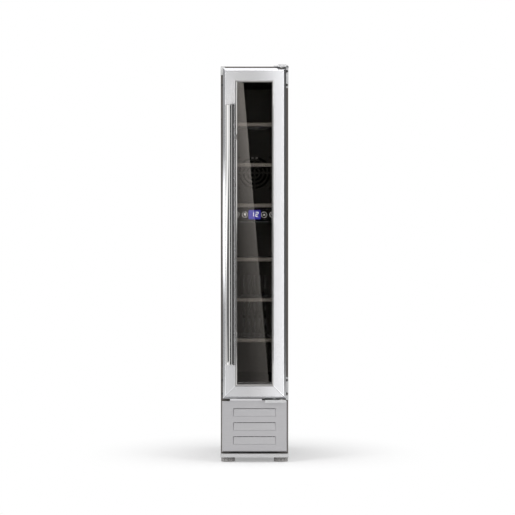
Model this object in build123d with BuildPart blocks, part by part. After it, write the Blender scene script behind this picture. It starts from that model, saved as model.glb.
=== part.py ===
from build123d import *

import os
from math import sqrt

# Slim seven-bottle wine cooler for a 150 mm gap under a worktop.
# Millimetres, +Z up, the door faces -Y and hangs on the right. The origin is on the floor under the
# middle of the cooler, and every part is written where it sits with the door shut.

os.makedirs("parts", exist_ok=True)

# ---------------------------------------------------------------- driving dimensions
# Shell, from the floor up: feet, base tray, machine space, insulated floor, cavity, insulated top.
cabinet_width = 148.0
cabinet_depth = 475.0
foot_height = 11.0
tray_height = 8.0
machine_height = 126.0
floor_insulation = 30.2
cavity_height = 653.0
top_insulation = 33.2
sheet = 0.8  # painted steel sheet
bend = 1.6  # outside radius of a folded edge
rear_return = 12.0
seam = 0.1  # gap left between sheets that butt

# Moulded liner and what it leaves for the foam.
liner_wall = 2.0
cavity_width = 100.0
rear_insulation = 49.0  # back of the cavity to the back of the shell
front_frame_lap = 3.0  # liner rim showing inside the steel front frame
rim_width = 10.0
liner_radius = 4.0

# Base tray and kick panel.
tray_width = 149.0
tray_front_reach = 8.0  # tray in front of the kick panel
tray_sheet = 1.2
kick_depth = 12.0
kick_width = 143.0
kick_sheet = 0.8
kick_bend = 3.0  # outside radius round the front
kick_gap_below = 3.0
kick_gap_above = 3.0
kick_notch_width = 17.6
kick_notch_height = 4.0
louvre_count = 3
louvre_width = 94.0
louvre_height = 17.5
louvre_pitch = 30.7
louvre_lip = 1.2  # depth of the first bend, at the foot
louvre_lip_rise = 0.4
louvre_recess = 2.4  # at the head of a louvre, where it opens
louvre_slot = 1.4
louvre_top_margin = 20.0  # top of the kick panel to the top of the first louvre

# Door: mitred stainless frame over a moulded ring, with a sealed double pane.
door_gap = 8.0  # shell to door, filled by the gasket
door_thickness = 42.0
door_side_reveal = 5.0  # cabinet showing on each side of the door
door_top_reveal = 5.0
door_bottom_lap = 4.0  # door below the top of the machine space
frame_width = 30.2
frame_depth = 22.0
frame_sheet = 1.2
outer_bevel = 5.0
outer_bevel_depth = 6.0
inner_bevel = 3.0
inner_bevel_depth = 6.0
mitre_seam = 0.1
pane_thickness = 4.0
pane_space = 10.0
pane_lap = 8.0  # glass hidden behind the frame on each side
pane_clearance = 0.3
spacer_width = 6.0
spacer_inset = 2.0
ring_clearance = 0.2  # moulded ring inside the steel frame
ring_lip = 2.0  # ring opening outside the frame opening
gasket_inset = 9.0
gasket_width = 11.0
liner_edge_radius = 2.0
gasket_stop = 0.4  # gasket to the shell when shut

# Handle.
handle_projection = 45.0
handle_diameter = 19.0
handle_length = 566.0
handle_rise = 75.0  # door bottom to the handle's lower end
post_diameter = 12.0
post_inset = 70.0
handle_end_radius = 1.5

# Hinges.
pivot_side_inset = 10.0
pivot_front_inset = 12.0
pin_diameter = 8.0
pin_engagement = 14.0
pin_clearance = 0.08
bush_diameter = 14.0
bush_fit = 0.05
bush_flange_diameter = 17.0
bush_flange = 1.2
bracket_sheet = 2.5
bracket_plate_width = 10.0
bracket_plate_height = 50.0
bracket_door_gap = 2.6
bottom_arm_width = 46.0
top_arm_width = 33.0
top_arm_taper = 10.0
arm_front_inset = 4.0  # door face to the front edge of an arm
arm_lip = 6.4
top_lip = 5.4
screw_head_diameter = 6.0
screw_head_height = 1.8
screw_diameter = 4.0
screw_length = 12.0
screw_pitch = 30.0
screw_edge_inset = 4.0
screw_end_inset = 6.5
cap_height = 18.0
cap_thickness = 3.0

# Shelves.
shelf_gap = 119.0  # between the two groups of shelves, round the control box
shelf_pitch = 88.7
shelves_per_group = 3
top_shelf_drop = 90.7  # cavity ceiling to the middle of the top shelf's trim
shelf_setback = 4.0  # shell front to the trims
trim_width = 96.8
trim_height = 8.7
trim_depth = 12.0
shelf_rear_gap = 14.0  # middle of the back rail to the duct cover
shelf_width = 98.0
rail_wire = 4.0
rod_wire = 3.0
rod_count = 5
rod_spread = 60.0  # between the outermost rods
rod_seat = 0.85  # height of a rod over a cross wire, in wire diameters: the weld sinks it a little
cross_count = 4
cradle_dip = 4.0
rail_rise = 1.2  # middle of the rails above the middle of the trim
shelf_end = 12.0  # trim, or back rail, to the nearest cross wire
ledge_reach = 5.0
ledge_height = 3.5
ledge_clearance = 0.2

# Control box between the third and fourth shelf.
box_height = 31.0
box_depth = 84.0
box_wall = 2.0
box_drop = 0.6  # below the trim of the shelf above
fascia_thickness = 3.0
window_width = 26.0
window_height = 20.0
window_thickness = 1.6
key_diameter = 12.7
key_clearance = 0.1
key_inner = 21.0
key_outer = 39.5
lamp_width = 60.0
lamp_depth = 14.0
lamp_height = 3.0
fascia_setback = 6.0  # shell front to the fascia
window_ledge = 2.0
key_play = 0.4
key_proud = 0.6  # cap in front of the fascia
key_collar = 1.2
key_edge = 0.6

# Air duct, fan and evaporator behind the rear wall of the cavity.
duct_depth = 48.0
duct_wall = 2.5
duct_margin = 1.0
duct_screw_recess = 6.4
fan_drop = 193.0  # cavity ceiling to the fan's axis
fan_size = 80.0
fan_thickness = 25.0
fan_screw_pitch = 71.5
fan_standoff = 3.0
fan_boss = 8.0
fan_rim = 2.2
fan_corner = 4.0
fan_shaft = 4.0
shaft_clearance = 0.06
hub_share = 0.44  # hub over the whole size
hub_edge = 1.5
mount_thickness = 4.0
strut_count = 4
strut_turn = 45.0
strut_width = 4.0
rotor_clearance = 1.0
tip_clearance = 1.2
blade_count = 7
blade_thickness = 1.4
blade_camber = 0.1  # height of a blade's arch over its chord
blade_stations = {  # chord over the whole size, and its pitch
    "root": (0.2, 48.0),
    "tip": (0.32, 30.0),
}
blade_sunk = 2.6  # foot of a blade inside the hub
blade_spare = 2.0  # cut off the blade's end, to the round of the bore
sensor_width = 16.0
sensor_size = 6.0
sensor_depth = 2.4
stud_pitch = 9.4
stud_diameter = 3.0
stud_reach = 0.6
ring_first_radius = 7.5
ring_pitch = 9.0
ring_count = 4
ring_slot = 4.5
ring_rib = 5.0
slot_columns = 5
slot_rows = 3
slot_column_pitch = 11.9
slot_row_pitch = 49.7
slot_width = 4.6
slot_length = 43.3
slot_bottom_rise = 82.0  # cavity floor to the foot of the lowest slots
evaporator_width = 84.0
evaporator_height = 290.0
evaporator_plate = 1.6
evaporator_rise = 60.0  # cavity floor to the lower edge of the plate
channel_width = 8.0
channel_rows = 6
channel_pitch = 44.0

# Machine space.
condenser_height = 112.0
condenser_depth = 38.0
condenser_width = 108.0
condenser_setback = 22.0
condenser_rows = 4
condenser_row_pitch = 26.0
condenser_tube = 6.0
fin_count = 9
fin_thickness = 0.6
cooling_fan_size = 110.0
cooling_fan_gap = 8.0
compressor_diameter = 100.0
compressor_height = 104.0
foot_plate = 2.5
dome_radius = 30.0
cup_radius = 14.0
weld_rise = 44.0
weld_lip = 3.0
terminal_width = 36.0
terminal_height = 40.0
terminal_reach = 12.0
compressor_rear = 235.0  # compressor axis to the rear panel
mount_diameter = 20.0
mount_height = 9.0
mount_spread_x = 96.0
mount_spread_y = 104.0
line_diameter = 6.0
line_bend = 8.0
line_side_gap = 9.2  # middle of the lines to the side panel
line_rear_gap = 45.0  # lines that rise to the deck, to the rear panel
line_rise = 63.5  # foot of the compressor's shell to its lines
drier_diameter = 16.0
drier_length = 60.0
drier_gap = 28.0  # condenser fan to the drier
capillary_diameter = 2.0
board_width = 58.0
board_depth = 110.0
board_height = 42.0
board_rear = 56.0  # board housing to the rear panel
board_side_gap = 4.0
board_corner = 4.0
vent_columns = 3
vent_rows = 5
vent_column_pitch = 36.0
vent_row_pitch = 16.0
vent_length = 30.0
vent_width = 5.0
gland_x = 46.0
gland_rise = 16.0
gland_diameter = 14.0
gland_bore = 7.0
gland_length = 12.0

# Levelling feet.
pad_diameter = 31.0
pad_height = 9.6
pad_notches = 12
notch_radius = 1.6
pad_edge = 2.0
stem_diameter = 8.0
stem_length = 42.0
stem_clearance = 0.06
boss_diameter = 16.0
foot_side_inset = 16.5
foot_front_inset = 34.0
foot_rear_inset = 34.0

# ---------------------------------------------------------------- planes and levels worked out from them
overall_depth = handle_projection + door_thickness + door_gap + cabinet_depth
door_front = handle_projection - overall_depth / 2
door_back = door_front + door_thickness
shell_front = door_back + door_gap
shell_back = shell_front + cabinet_depth
shell_middle = (shell_front + shell_back) / 2
cavity_back = shell_back - rear_insulation
cavity_depth = cavity_back - shell_front
duct_front = cavity_back - duct_depth
kick_front = shell_front - kick_depth
tray_front = kick_front - tray_front_reach

half_cabinet = cabinet_width / 2
half_inside = half_cabinet - sheet
half_cavity = cavity_width / 2
half_liner = half_cavity + liner_wall
half_door = half_cabinet - door_side_reveal
door_width = 2 * half_door
half_opening = half_door - frame_width
half_tray = tray_width / 2
half_kick = kick_width / 2
half_mouth = half_cavity + front_frame_lap
front_return = half_cabinet - half_mouth

tray_bottom = foot_height
tray_top = tray_bottom + tray_height
deck_bottom = tray_top + machine_height
deck_top = deck_bottom + sheet
cavity_floor = deck_top + floor_insulation + liner_wall
cavity_ceiling = cavity_floor + cavity_height
cavity_middle = (cavity_floor + cavity_ceiling) / 2
top_underside = cavity_ceiling + liner_wall + top_insulation
cabinet_top = top_underside + sheet
mouth_bottom = cavity_floor - front_frame_lap
mouth_top = cavity_ceiling + front_frame_lap

door_bottom = deck_bottom - door_bottom_lap
door_top = cabinet_top - door_top_reveal
door_height = door_top - door_bottom
door_middle = (door_bottom + door_top) / 2
kick_bottom = tray_top + kick_gap_below
kick_top = door_bottom - kick_gap_above

pivot_x = half_door - pivot_side_inset
pivot_y = door_front + pivot_front_inset
bottom_arm_top = door_bottom - bracket_door_gap
bottom_arm_bottom = bottom_arm_top - bracket_sheet
top_arm_bottom = door_top + bracket_door_gap
hinge_top = top_arm_bottom + top_lip
bottom_plate_top = bottom_arm_bottom + bracket_plate_height
top_plate_bottom = hinge_top - bracket_plate_height
screw_x = half_tray - screw_edge_inset
bottom_screws = [bottom_plate_top - screw_end_inset - step * screw_pitch for step in range(2)]
top_screws = [top_plate_bottom + screw_end_inset + step * screw_pitch for step in range(2)]

group_height = (shelves_per_group - 1) * shelf_pitch
shelf_heights = [
    cavity_ceiling - top_shelf_drop - group * (group_height + shelf_gap) - step * shelf_pitch
    for group in range(2)
    for step in range(shelves_per_group)
]
trim_front = shell_front + shelf_setback
trim_back = trim_front + trim_depth
shelf_back = duct_front - shelf_rear_gap
shelf_length = shelf_back - trim_front
fan_height = cavity_ceiling - fan_drop


def across(y):
    """Plane across the cooler at depth y: local x is X, local y is Z, and extrude runs to -Y."""
    return Plane.XZ.offset(-y)


def level(z):
    """Horizontal plane at height z: extrude runs up."""
    return Plane.XY.offset(z)


def write(name, part):
    part.label = name
    export_step(part, f"parts/{name}.step")


# ---------------------------------------------------------------- painted steel shell
# A side panel is one sheet, folded in at the front to carry the seal and in at the back.
with BuildPart() as right_side_panel:
    with BuildSketch(level(tray_top)):
        with Locations((half_cabinet, shell_middle)):
            Rectangle(front_return, cabinet_depth, align=(Align.MAX, Align.CENTER))
        with Locations((half_inside, shell_middle)):
            Rectangle(
                front_return, cabinet_depth - 2 * sheet, align=(Align.MAX, Align.CENTER), mode=Mode.SUBTRACT
            )
        with Locations((half_cabinet - rear_return, shell_back)):
            Rectangle(front_return, 2 * sheet, align=(Align.MAX, Align.CENTER), mode=Mode.SUBTRACT)
    extrude(amount=cabinet_top - tray_top)
    inner_folds = right_side_panel.edges().filter_by(Axis.Z).group_by(Axis.X)[-2]
    fillet(inner_folds, bend - sheet)
    outer_folds = right_side_panel.edges().filter_by(Axis.Z).group_by(Axis.X)[-1]
    fillet(outer_folds, bend)
    with BuildSketch(across(shell_front)):
        with Locations(*[(screw_x, z) for z in bottom_screws + top_screws]):
            Circle(screw_diameter / 2)
    extrude(amount=-2 * sheet, mode=Mode.SUBTRACT)
write("right_side_panel", right_side_panel.part)

with BuildPart() as left_side_panel:
    mirror(right_side_panel.part, about=Plane.YZ)
write("left_side_panel", left_side_panel.part)

# The top panel and the deck over the machine space drop between the sides; each has a front tab
# between the side returns, and together they frame the mouth of the cavity.
tab_width = 2 * (half_mouth - seam)
with BuildPart() as top_panel:
    with BuildSketch(level(top_underside)):
        with Locations((0, shell_front + bend + seam)):
            Rectangle(
                2 * (half_inside - seam), cabinet_depth - bend - 2 * sheet - 2 * seam,
                align=(Align.CENTER, Align.MIN),
            )
        with Locations((0, shell_front)):
            Rectangle(tab_width, 2 * bend, align=(Align.CENTER, Align.MIN))
    extrude(amount=sheet)
    with BuildSketch(across(shell_front)):
        with Locations((0, cabinet_top)):
            Rectangle(tab_width, cabinet_top - mouth_top, align=(Align.CENTER, Align.MAX))
    extrude(amount=-sheet)
    fillet(top_panel.edges().filter_by(Axis.X).group_by(Axis.Z)[-1].sort_by(Axis.Y)[0], bend / 2)
write("top_panel", top_panel.part)

with BuildPart() as deck_plate:
    with BuildSketch(level(deck_bottom)):
        with Locations((0, shell_front + bend + seam)):
            Rectangle(
                2 * (half_inside - seam), cabinet_depth - 2 * bend - 2 * seam, align=(Align.CENTER, Align.MIN)
            )
        with Locations((0, shell_front)):
            Rectangle(tab_width, 2 * bend, align=(Align.CENTER, Align.MIN))
    extrude(amount=sheet)
    with BuildSketch(across(shell_front)):
        with Locations((0, deck_bottom)):
            Rectangle(tab_width, mouth_bottom - deck_bottom, align=(Align.CENTER, Align.MIN))
    extrude(amount=-sheet)
write("deck_plate", deck_plate.part)

with BuildPart() as rear_panel:
    with BuildSketch(across(shell_back - sheet)):
        with Locations((0, deck_top)):
            Rectangle(2 * (half_cabinet - bend), top_underside - deck_top, align=(Align.CENTER, Align.MIN))
    extrude(amount=sheet)
write("rear_panel", rear_panel.part)

# The base tray is a pan turned upside down, with a threaded boss for each levelling foot.
foot_x = half_tray - foot_side_inset
foot_spots = {
    "foot_front_left": (-foot_x, tray_front + foot_front_inset),
    "foot_front_right": (foot_x, tray_front + foot_front_inset),
    "foot_rear_left": (-foot_x, shell_back - foot_rear_inset),
    "foot_rear_right": (foot_x, shell_back - foot_rear_inset),
}
with BuildPart() as base_tray:
    with BuildSketch(level(tray_bottom)):
        with Locations((0, tray_front)):
            Rectangle(tray_width, shell_back - tray_front, align=(Align.CENTER, Align.MIN))
    extrude(amount=tray_height)
    fillet(base_tray.edges().filter_by(Axis.Z), bend)
    fillet(base_tray.faces().sort_by(Axis.Z)[-1].edges(), bend)
    offset(amount=-tray_sheet, openings=base_tray.faces().sort_by(Axis.Z)[0])
    with BuildSketch(level(tray_bottom)):
        with Locations(*foot_spots.values()):
            Circle(boss_diameter / 2)
    extrude(amount=tray_height)
    with BuildSketch(level(tray_bottom)):
        with Locations(*foot_spots.values()):
            Circle(stem_diameter / 2 + stem_clearance)
    extrude(amount=tray_height, mode=Mode.SUBTRACT)
write("base_tray", base_tray.part)

# ---------------------------------------------------------------- moulded liner and foam
# The liner is one vacuum-formed tub: a rim behind the steel frame, and a ledge for each shelf.
with BuildPart() as inner_liner:
    with BuildSketch(across(shell_front + sheet)):
        with Locations((0, cavity_middle)):
            Rectangle(2 * (half_cavity + rim_width), cavity_height + 2 * rim_width)
    extrude(amount=-liner_wall)
    with BuildSketch(across(shell_front + sheet)):
        with Locations((0, cavity_middle)):
            RectangleRounded(2 * half_liner, cavity_height + 2 * liner_wall, liner_radius + liner_wall)
    extrude(amount=-(cavity_depth + liner_wall - sheet))
    with BuildSketch(across(shell_front + sheet)):
        with Locations((0, cavity_middle)):
            RectangleRounded(cavity_width, cavity_height, liner_radius)
    extrude(amount=-(cavity_depth - sheet), mode=Mode.SUBTRACT)
    for trim_middle in shelf_heights:
        ledge_top = trim_middle + rail_rise - rail_wire / 2 - ledge_clearance
        with BuildSketch(level(ledge_top)):
            with Locations((-half_cavity, trim_back), (half_cavity - ledge_reach, trim_back)):
                Rectangle(ledge_reach, shelf_length - trim_depth, align=(Align.MIN, Align.MIN))
        extrude(amount=-ledge_height)
write("inner_liner", inner_liner.part)

with BuildPart() as foam_insulation:
    with BuildSketch(across(shell_front + sheet)):
        with Locations((0, deck_top)):
            Rectangle(2 * half_inside, top_underside - deck_top, align=(Align.CENTER, Align.MIN))
    extrude(amount=-(cabinet_depth - 3 * sheet))
    fillet(foam_insulation.edges().filter_by(Axis.Z).group_by(Axis.Y)[0], bend - sheet)
    with BuildSketch(across(shell_front + sheet)):
        with Locations((0, cavity_middle)):
            Rectangle(2 * (half_cavity + rim_width), cavity_height + 2 * rim_width)
    extrude(amount=-liner_wall, mode=Mode.SUBTRACT)
    with BuildSketch(across(shell_front + sheet)):
        with Locations((0, cavity_middle)):
            RectangleRounded(2 * half_liner, cavity_height + 2 * liner_wall, liner_radius + liner_wall)
    extrude(amount=-(cavity_depth + liner_wall - sheet), mode=Mode.SUBTRACT)
    with BuildSketch(across(shell_front + sheet)):
        with Locations(*[(screw_x, z) for z in bottom_screws + top_screws]):
            Circle(screw_diameter / 2)
    extrude(amount=-screw_length, mode=Mode.SUBTRACT)
write("foam_insulation", foam_insulation.part)

# ---------------------------------------------------------------- louvred kick panel
# Pressed from one sheet: folded edges, a notch at each top corner for a hinge arm, and louvres drawn
# in as shallow trays, deeper toward the top, where each leaves a slot. The hollow behind the sheet is
# rounded in step with the front, so the sheet keeps its thickness round the folds.
with BuildPart() as kick_hollow:
    with BuildSketch(across(kick_front + kick_sheet)):
        with Locations((0, kick_bottom + kick_sheet)):
            Rectangle(
                kick_width - 2 * kick_sheet, kick_top - kick_bottom - 2 * kick_sheet,
                align=(Align.CENTER, Align.MIN),
            )
    extrude(amount=-kick_depth)
    fillet(kick_hollow.faces().sort_by(Axis.Y)[0].edges(), kick_bend - kick_sheet)
    with BuildSketch(across(kick_front)):
        with Locations((-half_kick, kick_top), (half_kick, kick_top)):
            Rectangle(2 * (kick_notch_width + kick_sheet), 2 * (kick_notch_height + kick_sheet))
    extrude(amount=-kick_depth, mode=Mode.SUBTRACT)

# One louvre's pocket, at height 0: the sheet is drawn in by 45 degrees at both ends of the flap.
louvre_feet = [
    kick_top - louvre_top_margin - louvre_height - step * louvre_pitch for step in range(louvre_count)
]
half_louvre = louvre_width / 2
with BuildPart() as louvre_pocket:
    with BuildSketch(Plane.YZ.offset(-half_louvre)):
        with BuildLine():
            Polyline(
                (kick_front, 0), (kick_front + louvre_lip, louvre_lip_rise),
                (kick_front + louvre_recess, louvre_height), (kick_front, louvre_height), close=True,
            )
        make_face()
    extrude(amount=louvre_width)
    with BuildSketch(Plane.XY):
        with BuildLine():
            Polyline(
                (-half_louvre, kick_front), (half_louvre, kick_front),
                (half_louvre - louvre_height, kick_front + louvre_height),
                (louvre_height - half_louvre, kick_front + louvre_height), close=True,
            )
        make_face()
    extrude(amount=louvre_height, mode=Mode.INTERSECT)

with BuildPart() as kick_panel:
    with BuildSketch(across(kick_front)):
        with Locations((0, kick_bottom)):
            Rectangle(kick_width, kick_top - kick_bottom, align=(Align.CENTER, Align.MIN))
    extrude(amount=-kick_depth)
    fillet(kick_panel.faces().sort_by(Axis.Y)[0].edges(), kick_bend)
    with BuildSketch(across(kick_front)):
        with Locations((-half_kick, kick_top), (half_kick, kick_top)):
            Rectangle(2 * kick_notch_width, 2 * kick_notch_height)
    extrude(amount=-kick_depth, mode=Mode.SUBTRACT)
    add(kick_hollow.part, mode=Mode.SUBTRACT)
    with BuildSketch(across(kick_front + kick_bend)):
        with Locations((-half_kick, kick_bottom), (half_kick, kick_bottom)):
            Rectangle(2 * kick_notch_width, 2 * kick_sheet)
    extrude(amount=-kick_depth, mode=Mode.SUBTRACT)
    with Locations(*[(0, kick_sheet, foot) for foot in louvre_feet]):
        add(louvre_pocket.part)
    with Locations(*[(0, 0, foot) for foot in louvre_feet]):
        add(louvre_pocket.part, mode=Mode.SUBTRACT)
    with BuildSketch(across(kick_front)):
        with Locations(*[(0, foot + louvre_height) for foot in louvre_feet]):
            Rectangle(louvre_width - 2 * louvre_recess, louvre_slot, align=(Align.CENTER, Align.MAX))
    extrude(amount=-kick_depth, mode=Mode.SUBTRACT)
write("kick_panel", kick_panel.part)

# ---------------------------------------------------------------- door frame
# One folded section all round: x runs in from the door's edge, y runs back from its face.
with BuildSketch() as frame_section:
    with BuildLine():
        Polyline(
            (0, frame_depth), (0, outer_bevel_depth), (outer_bevel, 0), (frame_width - inner_bevel, 0),
            (frame_width, inner_bevel_depth), (frame_width, frame_depth), close=True,
        )
    make_face()
    offset(amount=-frame_sheet, mode=Mode.SUBTRACT)
    with Locations((frame_sheet, inner_bevel_depth)):
        Rectangle(frame_width, frame_depth, align=(Align.MIN, Align.MIN), mode=Mode.SUBTRACT)

# Each length is cut to a trapezium for its mitres, with a hair's gap left at the seam.
with BuildPart() as left_stile:
    with BuildSketch(Plane(origin=(-half_door, door_front, door_bottom), x_dir=(1, 0, 0), z_dir=(0, 0, 1))):
        add(frame_section.sketch)
    extrude(amount=door_height)
    with BuildSketch(across(door_front)):
        with BuildLine():
            Polyline(
                (-half_door, door_bottom + mitre_seam),
                (-half_door + frame_width, door_bottom + mitre_seam + frame_width),
                (-half_door + frame_width, door_top - mitre_seam - frame_width),
                (-half_door, door_top - mitre_seam), close=True,
            )
        make_face()
    extrude(amount=-frame_depth, mode=Mode.INTERSECT)
    with BuildSketch(level(door_bottom)):
        with Locations((-pivot_x, pivot_y)):
            Circle(bush_diameter / 2 + bush_fit)
    extrude(amount=door_height, mode=Mode.SUBTRACT)

with BuildPart() as bottom_rail:
    with BuildSketch(Plane(origin=(-half_door, door_front, door_bottom), x_dir=(0, 0, 1), z_dir=(1, 0, 0))):
        mirror(frame_section.sketch, about=Plane.XZ)
    extrude(amount=door_width)
    with BuildSketch(across(door_front)):
        with BuildLine():
            Polyline(
                (-half_door, door_bottom), (half_door, door_bottom),
                (half_opening, door_bottom + frame_width), (-half_opening, door_bottom + frame_width),
                close=True,
            )
        make_face()
    extrude(amount=-frame_depth, mode=Mode.INTERSECT)
    with BuildSketch(level(door_bottom)):
        with Locations((pivot_x, pivot_y)):
            Circle(bush_diameter / 2 + bush_fit)
    extrude(amount=frame_width, mode=Mode.SUBTRACT)

with BuildPart() as door_frame:
    mirror(left_stile.part, about=Plane.YZ)
    add(left_stile.part)
    add(bottom_rail.part)
    mirror(bottom_rail.part, about=level(door_middle))
write("door_frame", door_frame.part)

# ---------------------------------------------------------------- door core, panes and seal
pane_front = door_front + inner_bevel_depth + pane_clearance
half_pane = half_opening + pane_lap
pane_height = door_height - 2 * (frame_width - pane_lap)
unit_thickness = 2 * pane_thickness + pane_space
with BuildPart() as outer_glass:
    with BuildSketch(across(pane_front)):
        with Locations((0, door_middle)):
            Rectangle(2 * half_pane, pane_height)
    extrude(amount=-pane_thickness)
write("outer_glass", outer_glass.part)

with BuildPart() as glass_spacer:
    with BuildSketch(across(pane_front + pane_thickness)):
        with Locations((0, door_middle)):
            Rectangle(2 * (half_pane - spacer_inset), pane_height - 2 * spacer_inset)
            Rectangle(
                2 * (half_pane - spacer_inset - spacer_width),
                pane_height - 2 * (spacer_inset + spacer_width),
                mode=Mode.SUBTRACT,
            )
    extrude(amount=-pane_space)
write("glass_spacer", glass_spacer.part)

with BuildPart() as inner_glass:
    with BuildSketch(across(pane_front + pane_thickness + pane_space)):
        with Locations((0, door_middle)):
            Rectangle(2 * half_pane, pane_height)
    extrude(amount=-pane_thickness)
write("inner_glass", inner_glass.part)

# The moulded ring fills the steel frame, holds the panes and carries the bushes. From the front back:
# inside the bevels, beside the panes, and the full-width back with its lip behind the panes.
core_front = door_front + outer_bevel_depth + frame_sheet
pane_back = pane_front + unit_thickness + pane_clearance
frame_back = door_front + frame_depth + ring_clearance
core_inset = frame_sheet + ring_clearance
with BuildPart() as door_liner:
    for y_start, y_end, inset in ((core_front, frame_back, core_inset), (frame_back, door_back, 0)):
        with BuildSketch(across(y_start)):
            with Locations((0, door_middle)):
                Rectangle(door_width - 2 * inset, door_height - 2 * inset)
        extrude(amount=y_start - y_end)
    with BuildSketch(across(core_front)):
        with Locations((0, door_middle)):
            Rectangle(2 * (half_pane + pane_clearance), pane_height + 2 * pane_clearance)
    extrude(amount=core_front - pane_back, mode=Mode.SUBTRACT)
    with BuildSketch(across(pane_back)):
        with Locations((0, door_middle)):
            Rectangle(2 * (half_opening + ring_lip), door_height - 2 * (frame_width - ring_lip))
    extrude(amount=pane_back - door_back, mode=Mode.SUBTRACT)
    back_edges = door_liner.faces().sort_by(Axis.Y)[-1].edges()
    fillet(back_edges, liner_edge_radius)
    for z_start, run in ((door_bottom, 1), (door_top, -1)):
        with BuildSketch(level(z_start)):
            with Locations((pivot_x, pivot_y)):
                Circle(bush_diameter / 2 + bush_fit)
        extrude(amount=run * (pin_engagement + pin_clearance), mode=Mode.SUBTRACT)
write("door_liner", door_liner.part)

# Magnetic seal: a hollow bulb on the back of the door, drawn at its shut thickness.
with BuildPart() as door_gasket:
    with BuildSketch(across(door_back)):
        with Locations((0, door_middle)):
            Rectangle(door_width - 2 * gasket_inset, door_height - 2 * gasket_inset)
            Rectangle(
                door_width - 2 * (gasket_inset + gasket_width),
                door_height - 2 * (gasket_inset + gasket_width),
                mode=Mode.SUBTRACT,
            )
    extrude(amount=gasket_stop - door_gap)
    fillet(door_gasket.faces().sort_by(Axis.Y)[-1].edges(), gasket_width / 5)
write("door_gasket", door_gasket.part)

# ---------------------------------------------------------------- hinges
# The two brackets are the same idea turned over: a plate screwed to the shell's front, and an arm that
# reaches under or over the door, stiffened by a lip along its front edge, with the pin riveted in it.
arm_front = door_front + arm_front_inset
head_right = half_door
kick_clear = kick_front - seam * 10
neck_left = half_kick - kick_notch_width + seam * 10
with BuildPart() as bottom_hinge_bracket:
    with BuildSketch(level(bottom_arm_bottom)):
        with Locations((head_right, arm_front)):
            Rectangle(bottom_arm_width, kick_clear - arm_front, align=(Align.MAX, Align.MIN))
        with Locations((neck_left, kick_clear)):
            Rectangle(head_right - neck_left, shell_front - kick_clear, align=(Align.MIN, Align.MIN))
    extrude(amount=bracket_sheet)
    with BuildSketch(across(arm_front)):
        with Locations((head_right, bottom_arm_top)):
            Rectangle(bottom_arm_width, arm_lip, align=(Align.MAX, Align.MAX))
    extrude(amount=-bracket_sheet)
    with BuildSketch(across(shell_front)):
        with Locations((half_tray, bottom_arm_bottom)):
            Rectangle(bracket_plate_width, bracket_plate_height, align=(Align.MAX, Align.MIN))
    extrude(amount=bracket_sheet)
    fillet(bottom_hinge_bracket.edges().filter_by(Axis.Y).group_by(Axis.Z)[-1], bracket_plate_width / 4)
    with BuildSketch(level(bottom_arm_bottom)):
        with Locations((pivot_x, pivot_y)):
            Circle(pin_diameter / 2)
    extrude(amount=door_bottom + pin_engagement - bottom_arm_bottom)
    with BuildSketch(across(shell_front - bracket_sheet)):
        with Locations(*[(screw_x, z) for z in bottom_screws]):
            Circle(screw_diameter / 2)
    extrude(amount=-bracket_sheet, mode=Mode.SUBTRACT)
write("bottom_hinge_bracket", bottom_hinge_bracket.part)

top_arm_left = half_tray - top_arm_width
with BuildPart() as top_hinge_bracket:
    with BuildSketch(level(top_arm_bottom)):
        with BuildLine():
            Polyline(
                (half_tray, shell_front), (half_tray, kick_clear), (head_right, kick_clear - top_arm_taper),
                (head_right, arm_front), (top_arm_left + top_arm_taper, arm_front),
                (top_arm_left, arm_front + top_arm_taper), (top_arm_left, kick_clear),
                (neck_left, shell_front), close=True,
            )
        make_face()
    extrude(amount=bracket_sheet)
    with BuildSketch(across(arm_front)):
        with Locations((head_right, top_arm_bottom)):
            Rectangle(head_right - top_arm_left - top_arm_taper, top_lip, align=(Align.MAX, Align.MIN))
    extrude(amount=-bracket_sheet)
    with BuildSketch(across(shell_front)):
        with Locations((half_tray, hinge_top)):
            Rectangle(bracket_plate_width, bracket_plate_height, align=(Align.MAX, Align.MAX))
    extrude(amount=bracket_sheet)
    fillet(top_hinge_bracket.edges().filter_by(Axis.Y).group_by(Axis.Z)[0], bracket_plate_width / 4)
    with BuildSketch(level(top_arm_bottom)):
        with Locations((pivot_x, pivot_y)):
            Circle(pin_diameter / 2)
    extrude(amount=door_top - pin_engagement - top_arm_bottom)
    with BuildSketch(across(shell_front - bracket_sheet)):
        with Locations(*[(screw_x, z) for z in top_screws]):
            Circle(screw_diameter / 2)
    extrude(amount=-bracket_sheet, mode=Mode.SUBTRACT)
write("top_hinge_bracket", top_hinge_bracket.part)

with BuildPart() as hinge_bushes:
    for z_face, run in ((door_bottom, 1), (door_top, -1)):
        with BuildSketch(level(z_face)):
            with Locations((pivot_x, pivot_y)):
                Circle(bush_diameter / 2)
                Circle(pin_diameter / 2 + pin_clearance, mode=Mode.SUBTRACT)
        extrude(amount=run * pin_engagement)
        with BuildSketch(level(z_face)):
            with Locations((pivot_x, pivot_y)):
                Circle(bush_flange_diameter / 2)
                Circle(pin_diameter / 2 + pin_clearance, mode=Mode.SUBTRACT)
        extrude(amount=-run * bush_flange)
write("hinge_bushes", hinge_bushes.part)

with BuildPart() as hinge_screws:
    with BuildSketch(across(shell_front - bracket_sheet)):
        with Locations(*[(screw_x, z) for z in bottom_screws + top_screws]):
            Circle(screw_head_diameter / 2)
    extrude(amount=screw_head_height)
    fillet(hinge_screws.faces().group_by(Axis.Y)[0].edges(), screw_head_height / 2)
    with BuildSketch(across(shell_front - bracket_sheet)):
        with Locations(*[(screw_x, z) for z in bottom_screws + top_screws]):
            Circle(screw_diameter / 2)
    extrude(amount=-screw_length)
write("hinge_screws", hinge_screws.part)

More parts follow.
